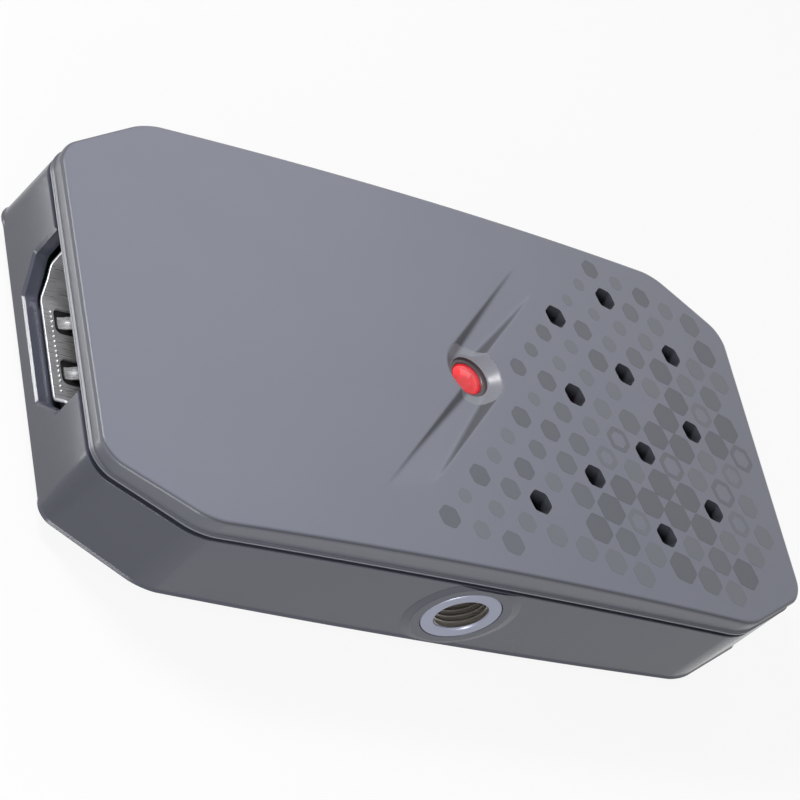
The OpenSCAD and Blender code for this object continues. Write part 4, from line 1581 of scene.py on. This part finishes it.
@dataclass
class Underside:
    """The rubber feet and the case screws."""

    shell: RearShell
    foot_r: float = 3.5
    foot_dish: Pair = (1.0, 0.05)
    foot_tread: Pair = (0.9, 0.25)
    foot_edge: Pair = (0.08, 0.07)
    foot_round: float = 0.25
    screw_r: float = 0.95
    screw_l: float = 6.0
    screw_tip: float = 0.4
    head_r: float = 1.8
    head_h: float = 1.2
    head_flat: float = 0.5
    head_edge: Pair = (0.2, 0.06)
    head_round: float = 0.3
    drive: Triple = (1.9, 0.5, 1.0)

    def feet(self) -> BMesh:
        """Makes the four feet with a rounded tread.

        Returns:
            The feet.
        """
        bm = bmesh.new()
        x, y = self.shell.feet
        r, top = self.foot_r, self.shell.form.rear_z(x) + self.shell.foot_pocket
        dish_in, dish_z = self.foot_dish
        profile = [
            (0, dish_z), (r - dish_in, dish_z), *((r - side, 0.0) for side in self.foot_tread),
            (r - self.foot_edge[0], self.foot_edge[1]), (r, self.foot_round), (r, top), (0, top),
        ]
        for sx, sy in CORNERS:
            absorb(bm, shift(lathe(profile, FOOT_STEPS), sx * x, sy * y))
        return bm

    def screws(self) -> BMesh:
        """Makes the four case screws with cross drives.

        Returns:
            The screws.
        """
        bm = bmesh.new()
        x, y = self.shell.form.screws
        long, narrow, deep = self.drive
        r, shank, seat = self.head_r, self.screw_r, self.shell.head_z
        low, end, tip = seat - self.head_h, seat + self.screw_l, self.screw_tip
        profile = [
            (0, low), (r - self.head_flat, low), (r - self.head_edge[0], low + self.head_edge[1]),
            (r, low + self.head_round), (r, seat), (shank, seat), (shank, end - tip), (shank - tip, end),
            (0, end),
        ]
        for sx, sy in CORNERS:
            screw = lathe(profile, SCREW_STEPS)
            for arm in (slab(long, narrow, deep), slab(narrow, long, deep)):
                screw = carve(screw, shift(arm, 0, 0, low - deep / 2))
            absorb(bm, shift(screw, sx * x, sy * y))
        return bm

    def build(self) -> None:
        """Builds and dresses the feet and screws."""
        add_piece("feet_form", self.feet(), [RUBBER], ["rubber_feet"])
        add_piece("case_screw_forms", self.screws(), [DARK_STEEL], ["case_screws"])


@dataclass
class InnerParts:
    """The CAD nodes that stay, with their finishes."""

    finishes: dict[str, Finish] = field(default_factory=lambda: {
        "board_screws": BRIGHT_STEEL, "circuit_board": BOARD, "hdmi_tongue": SOCKET_PLASTIC,
        "hdmi_contacts": GOLD, "usb_tongue": SOCKET_PLASTIC, "usb_contacts": GOLD, "status_led": LAMP,
        "video_processor": CHIP, "thermal_pad": PAD, "heatsink": ALUMINIUM, "hdmi_receiver": CHIP,
        "memory_chip": CHIP, "flash_chip": CHIP, "crystal": BRIGHT_STEEL, "power_inductors": FERRITE,
        "voltage_regulators": CHIP, "capacitors": CERAMIC, "resistor_arrays": CHIP,
    })

    def dress(self, nodes: dict[str, bpy.types.Object]) -> None:
        """Gives the nodes their finishes.

        Args:
            nodes: The CAD nodes by name.
        """
        for name, finish in self.finishes.items():
            node = nodes[name]
            if not node.material_slots:
                node.data.materials.append(None)
            for slot in node.material_slots:
                slot.material = finish.material()
            LOG.info("%s: %s", name, finish.name)


# The studio


@dataclass(frozen=True)
class SoftLight:
    """One soft studio light. Shine_only keeps it to reflections."""

    name: str
    place: Triple
    size: Pair
    power: float
    aim: Triple = (0.0, 0.0, 0.006)
    shine_only: bool = False

    def build(self) -> None:
        """Adds the light, unseen by the camera."""
        data = bpy.data.lights.new(self.name, "AREA")
        data.shape = "RECTANGLE"
        data.size, data.size_y = self.size
        data.energy = self.power
        lamp = bpy.data.objects.new(self.name, data)
        lamp.location = self.place
        lamp.rotation_euler = (Vector(self.aim) - lamp.location).to_track_quat("-Z", "Y").to_euler()
        lamp.visible_camera = False
        lamp.visible_diffuse = not self.shine_only
        bpy.context.scene.collection.objects.link(lamp)


@dataclass
class Studio:
    """Pale floor, soft lights and the camera."""

    ambient: float = 0.1
    ambient_tone: Colour = (0.97, 0.98, 1.0)
    floor_size: float = 4.0
    floor_share: float = 0.9
    floor_far: Pair = (0.12, 0.6)
    floor_tone: float = 0.16
    floor_seen: float = 0.95
    camera_at: Triple = (-0.132575, -0.115065, 0.145726)
    right: Triple = (0.789977, -0.184732, 0.584645)
    up: Triple = (-0.188932, 0.833793, 0.518743)
    back: Triple = (-0.583301, -0.520253, 0.623776)
    lens: float = 110.47
    sensor: float = 36.0
    clip_start: float = 0.005
    lights: tuple[SoftLight, ...] = (
        SoftLight("key", (-0.085, -0.15, 0.075), (0.09, 0.07), 0.14),
        SoftLight("top", (0.04, 0.04, 0.46), (0.40, 0.40), 0.17),
        SoftLight("left_back", (-0.13, 0.11, 0.17), (0.05, 0.05), 0.31),
        SoftLight("back", (0.19, 0.31, 0.35), (0.26, 0.26), 0.22),
        SoftLight(
            "end_glow", (-0.0485, 0.0075, 0.0010), (0.034, 0.0025), 0.0034, (-0.039, 0.0075, 0.010), True
        ),
    )

    @staticmethod
    def seen(sheet: NodeSheet) -> Socket:
        """Makes the mask of the rays that show the background as it is.

        Args:
            sheet: Nodes of the floor or the world.

        Returns:
            A socket that is 1 for such rays.
        """
        path = sheet.add("ShaderNodeLightPath").outputs
        shine = sheet.combine("MAXIMUM", path["Is Glossy Ray"], path["Is Transmission Ray"])
        return sheet.combine("MAXIMUM", path["Is Camera Ray"], shine)

    def floor(self) -> None:
        """Adds a plain pale floor that keeps a faint shadow."""
        bm = flat_grid(2 * self.floor_size, 2 * self.floor_size)
        mesh = bpy.data.meshes.new("studio_floor")
        bm.to_mesh(mesh)
        bm.free()
        floor = bpy.data.objects.new("studio_floor", mesh)
        bpy.context.scene.collection.objects.link(floor)
        mesh.materials.append(bpy.data.materials.new("floor_paper"))
        sheet = NodeSheet.of(mesh.materials[0])
        seen = self.seen(sheet)
        dim, pale = ((tone, tone, tone, 1.0) for tone in (self.floor_tone, self.floor_seen))
        paper = sheet.add("ShaderNodeBsdfDiffuse", {"Color": sheet.blend(seen, dim, pale)}).outputs[0]
        white = sheet.add("ShaderNodeEmission", {"Color": (1, 1, 1, 1), "Strength": 1.0}).outputs[0]
        spot = sheet.add("ShaderNodeTexCoord").outputs["Object"]
        away = sheet.add("ShaderNodeVectorMath", {0: spot}, operation="LENGTH").outputs["Value"]
        share = sheet.combine("MULTIPLY", seen, sheet.ramp(away, *self.floor_far, self.floor_share, 1.0))
        mixed = sheet.add("ShaderNodeMixShader", {0: share, 1: paper, 2: white})
        sheet.add("ShaderNodeOutputMaterial", {"Surface": mixed.outputs[0]})

    def world(self) -> None:
        """Sets an even ambient light, white where it is seen."""
        world = bpy.data.worlds.new("studio")
        bpy.context.scene.world = world
        sheet = NodeSheet.of(world)
        soft, white = (
            sheet.add("ShaderNodeBackground", {"Color": (*tone, 1.0), "Strength": strength}).outputs[0]
            for tone, strength in ((self.ambient_tone, self.ambient), ((1.0, 1.0, 1.0), 1.0))
        )
        mixed = sheet.add("ShaderNodeMixShader", {0: self.seen(sheet), 1: soft, 2: white})
        sheet.add("ShaderNodeOutputWorld", {"Surface": mixed.outputs[0]})

    def camera(self) -> None:
        """Adds the camera at the photograph's angle."""
        data = bpy.data.cameras.new("view")
        data.sensor_width = self.sensor
        data.lens = self.lens
        data.clip_start = self.clip_start
        camera = bpy.data.objects.new("view", data)
        axes = Matrix((self.right, self.up, self.back)).transposed().to_4x4()
        camera.matrix_world = Matrix.Translation(self.camera_at) @ axes
        bpy.context.scene.collection.objects.link(camera)
        bpy.context.scene.camera = camera

    def build(self) -> None:
        """Sets up the whole studio."""
        bpy.context.scene.view_settings.view_transform = "Standard"
        self.floor()
        self.world()
        for light in self.lights:
            light.build()
        self.camera()


def clear_scene() -> None:
    """Removes what Blender starts with."""
    for obj in bpy.data.objects[:]:
        bpy.data.objects.remove(obj)


def main() -> None:
    """Builds the box round its CAD frame, and the studio."""
    logging.basicConfig(level=logging.INFO, format="%(name)s %(message)s")
    clear_scene()
    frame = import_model()
    form = CaseForm()
    cover = FrontCover(form)
    shell = RearShell(form)
    cover.build()
    shell.build()
    InputSocket(shell).build()
    OutputSocket(shell).build()
    ThreadInsert(shell).build()
    StatusLight(cover).build()
    Underside(shell).build()
    InnerParts().dress(frame["nodes"])
    Studio().build()


if __name__ == "__main__":
    main()
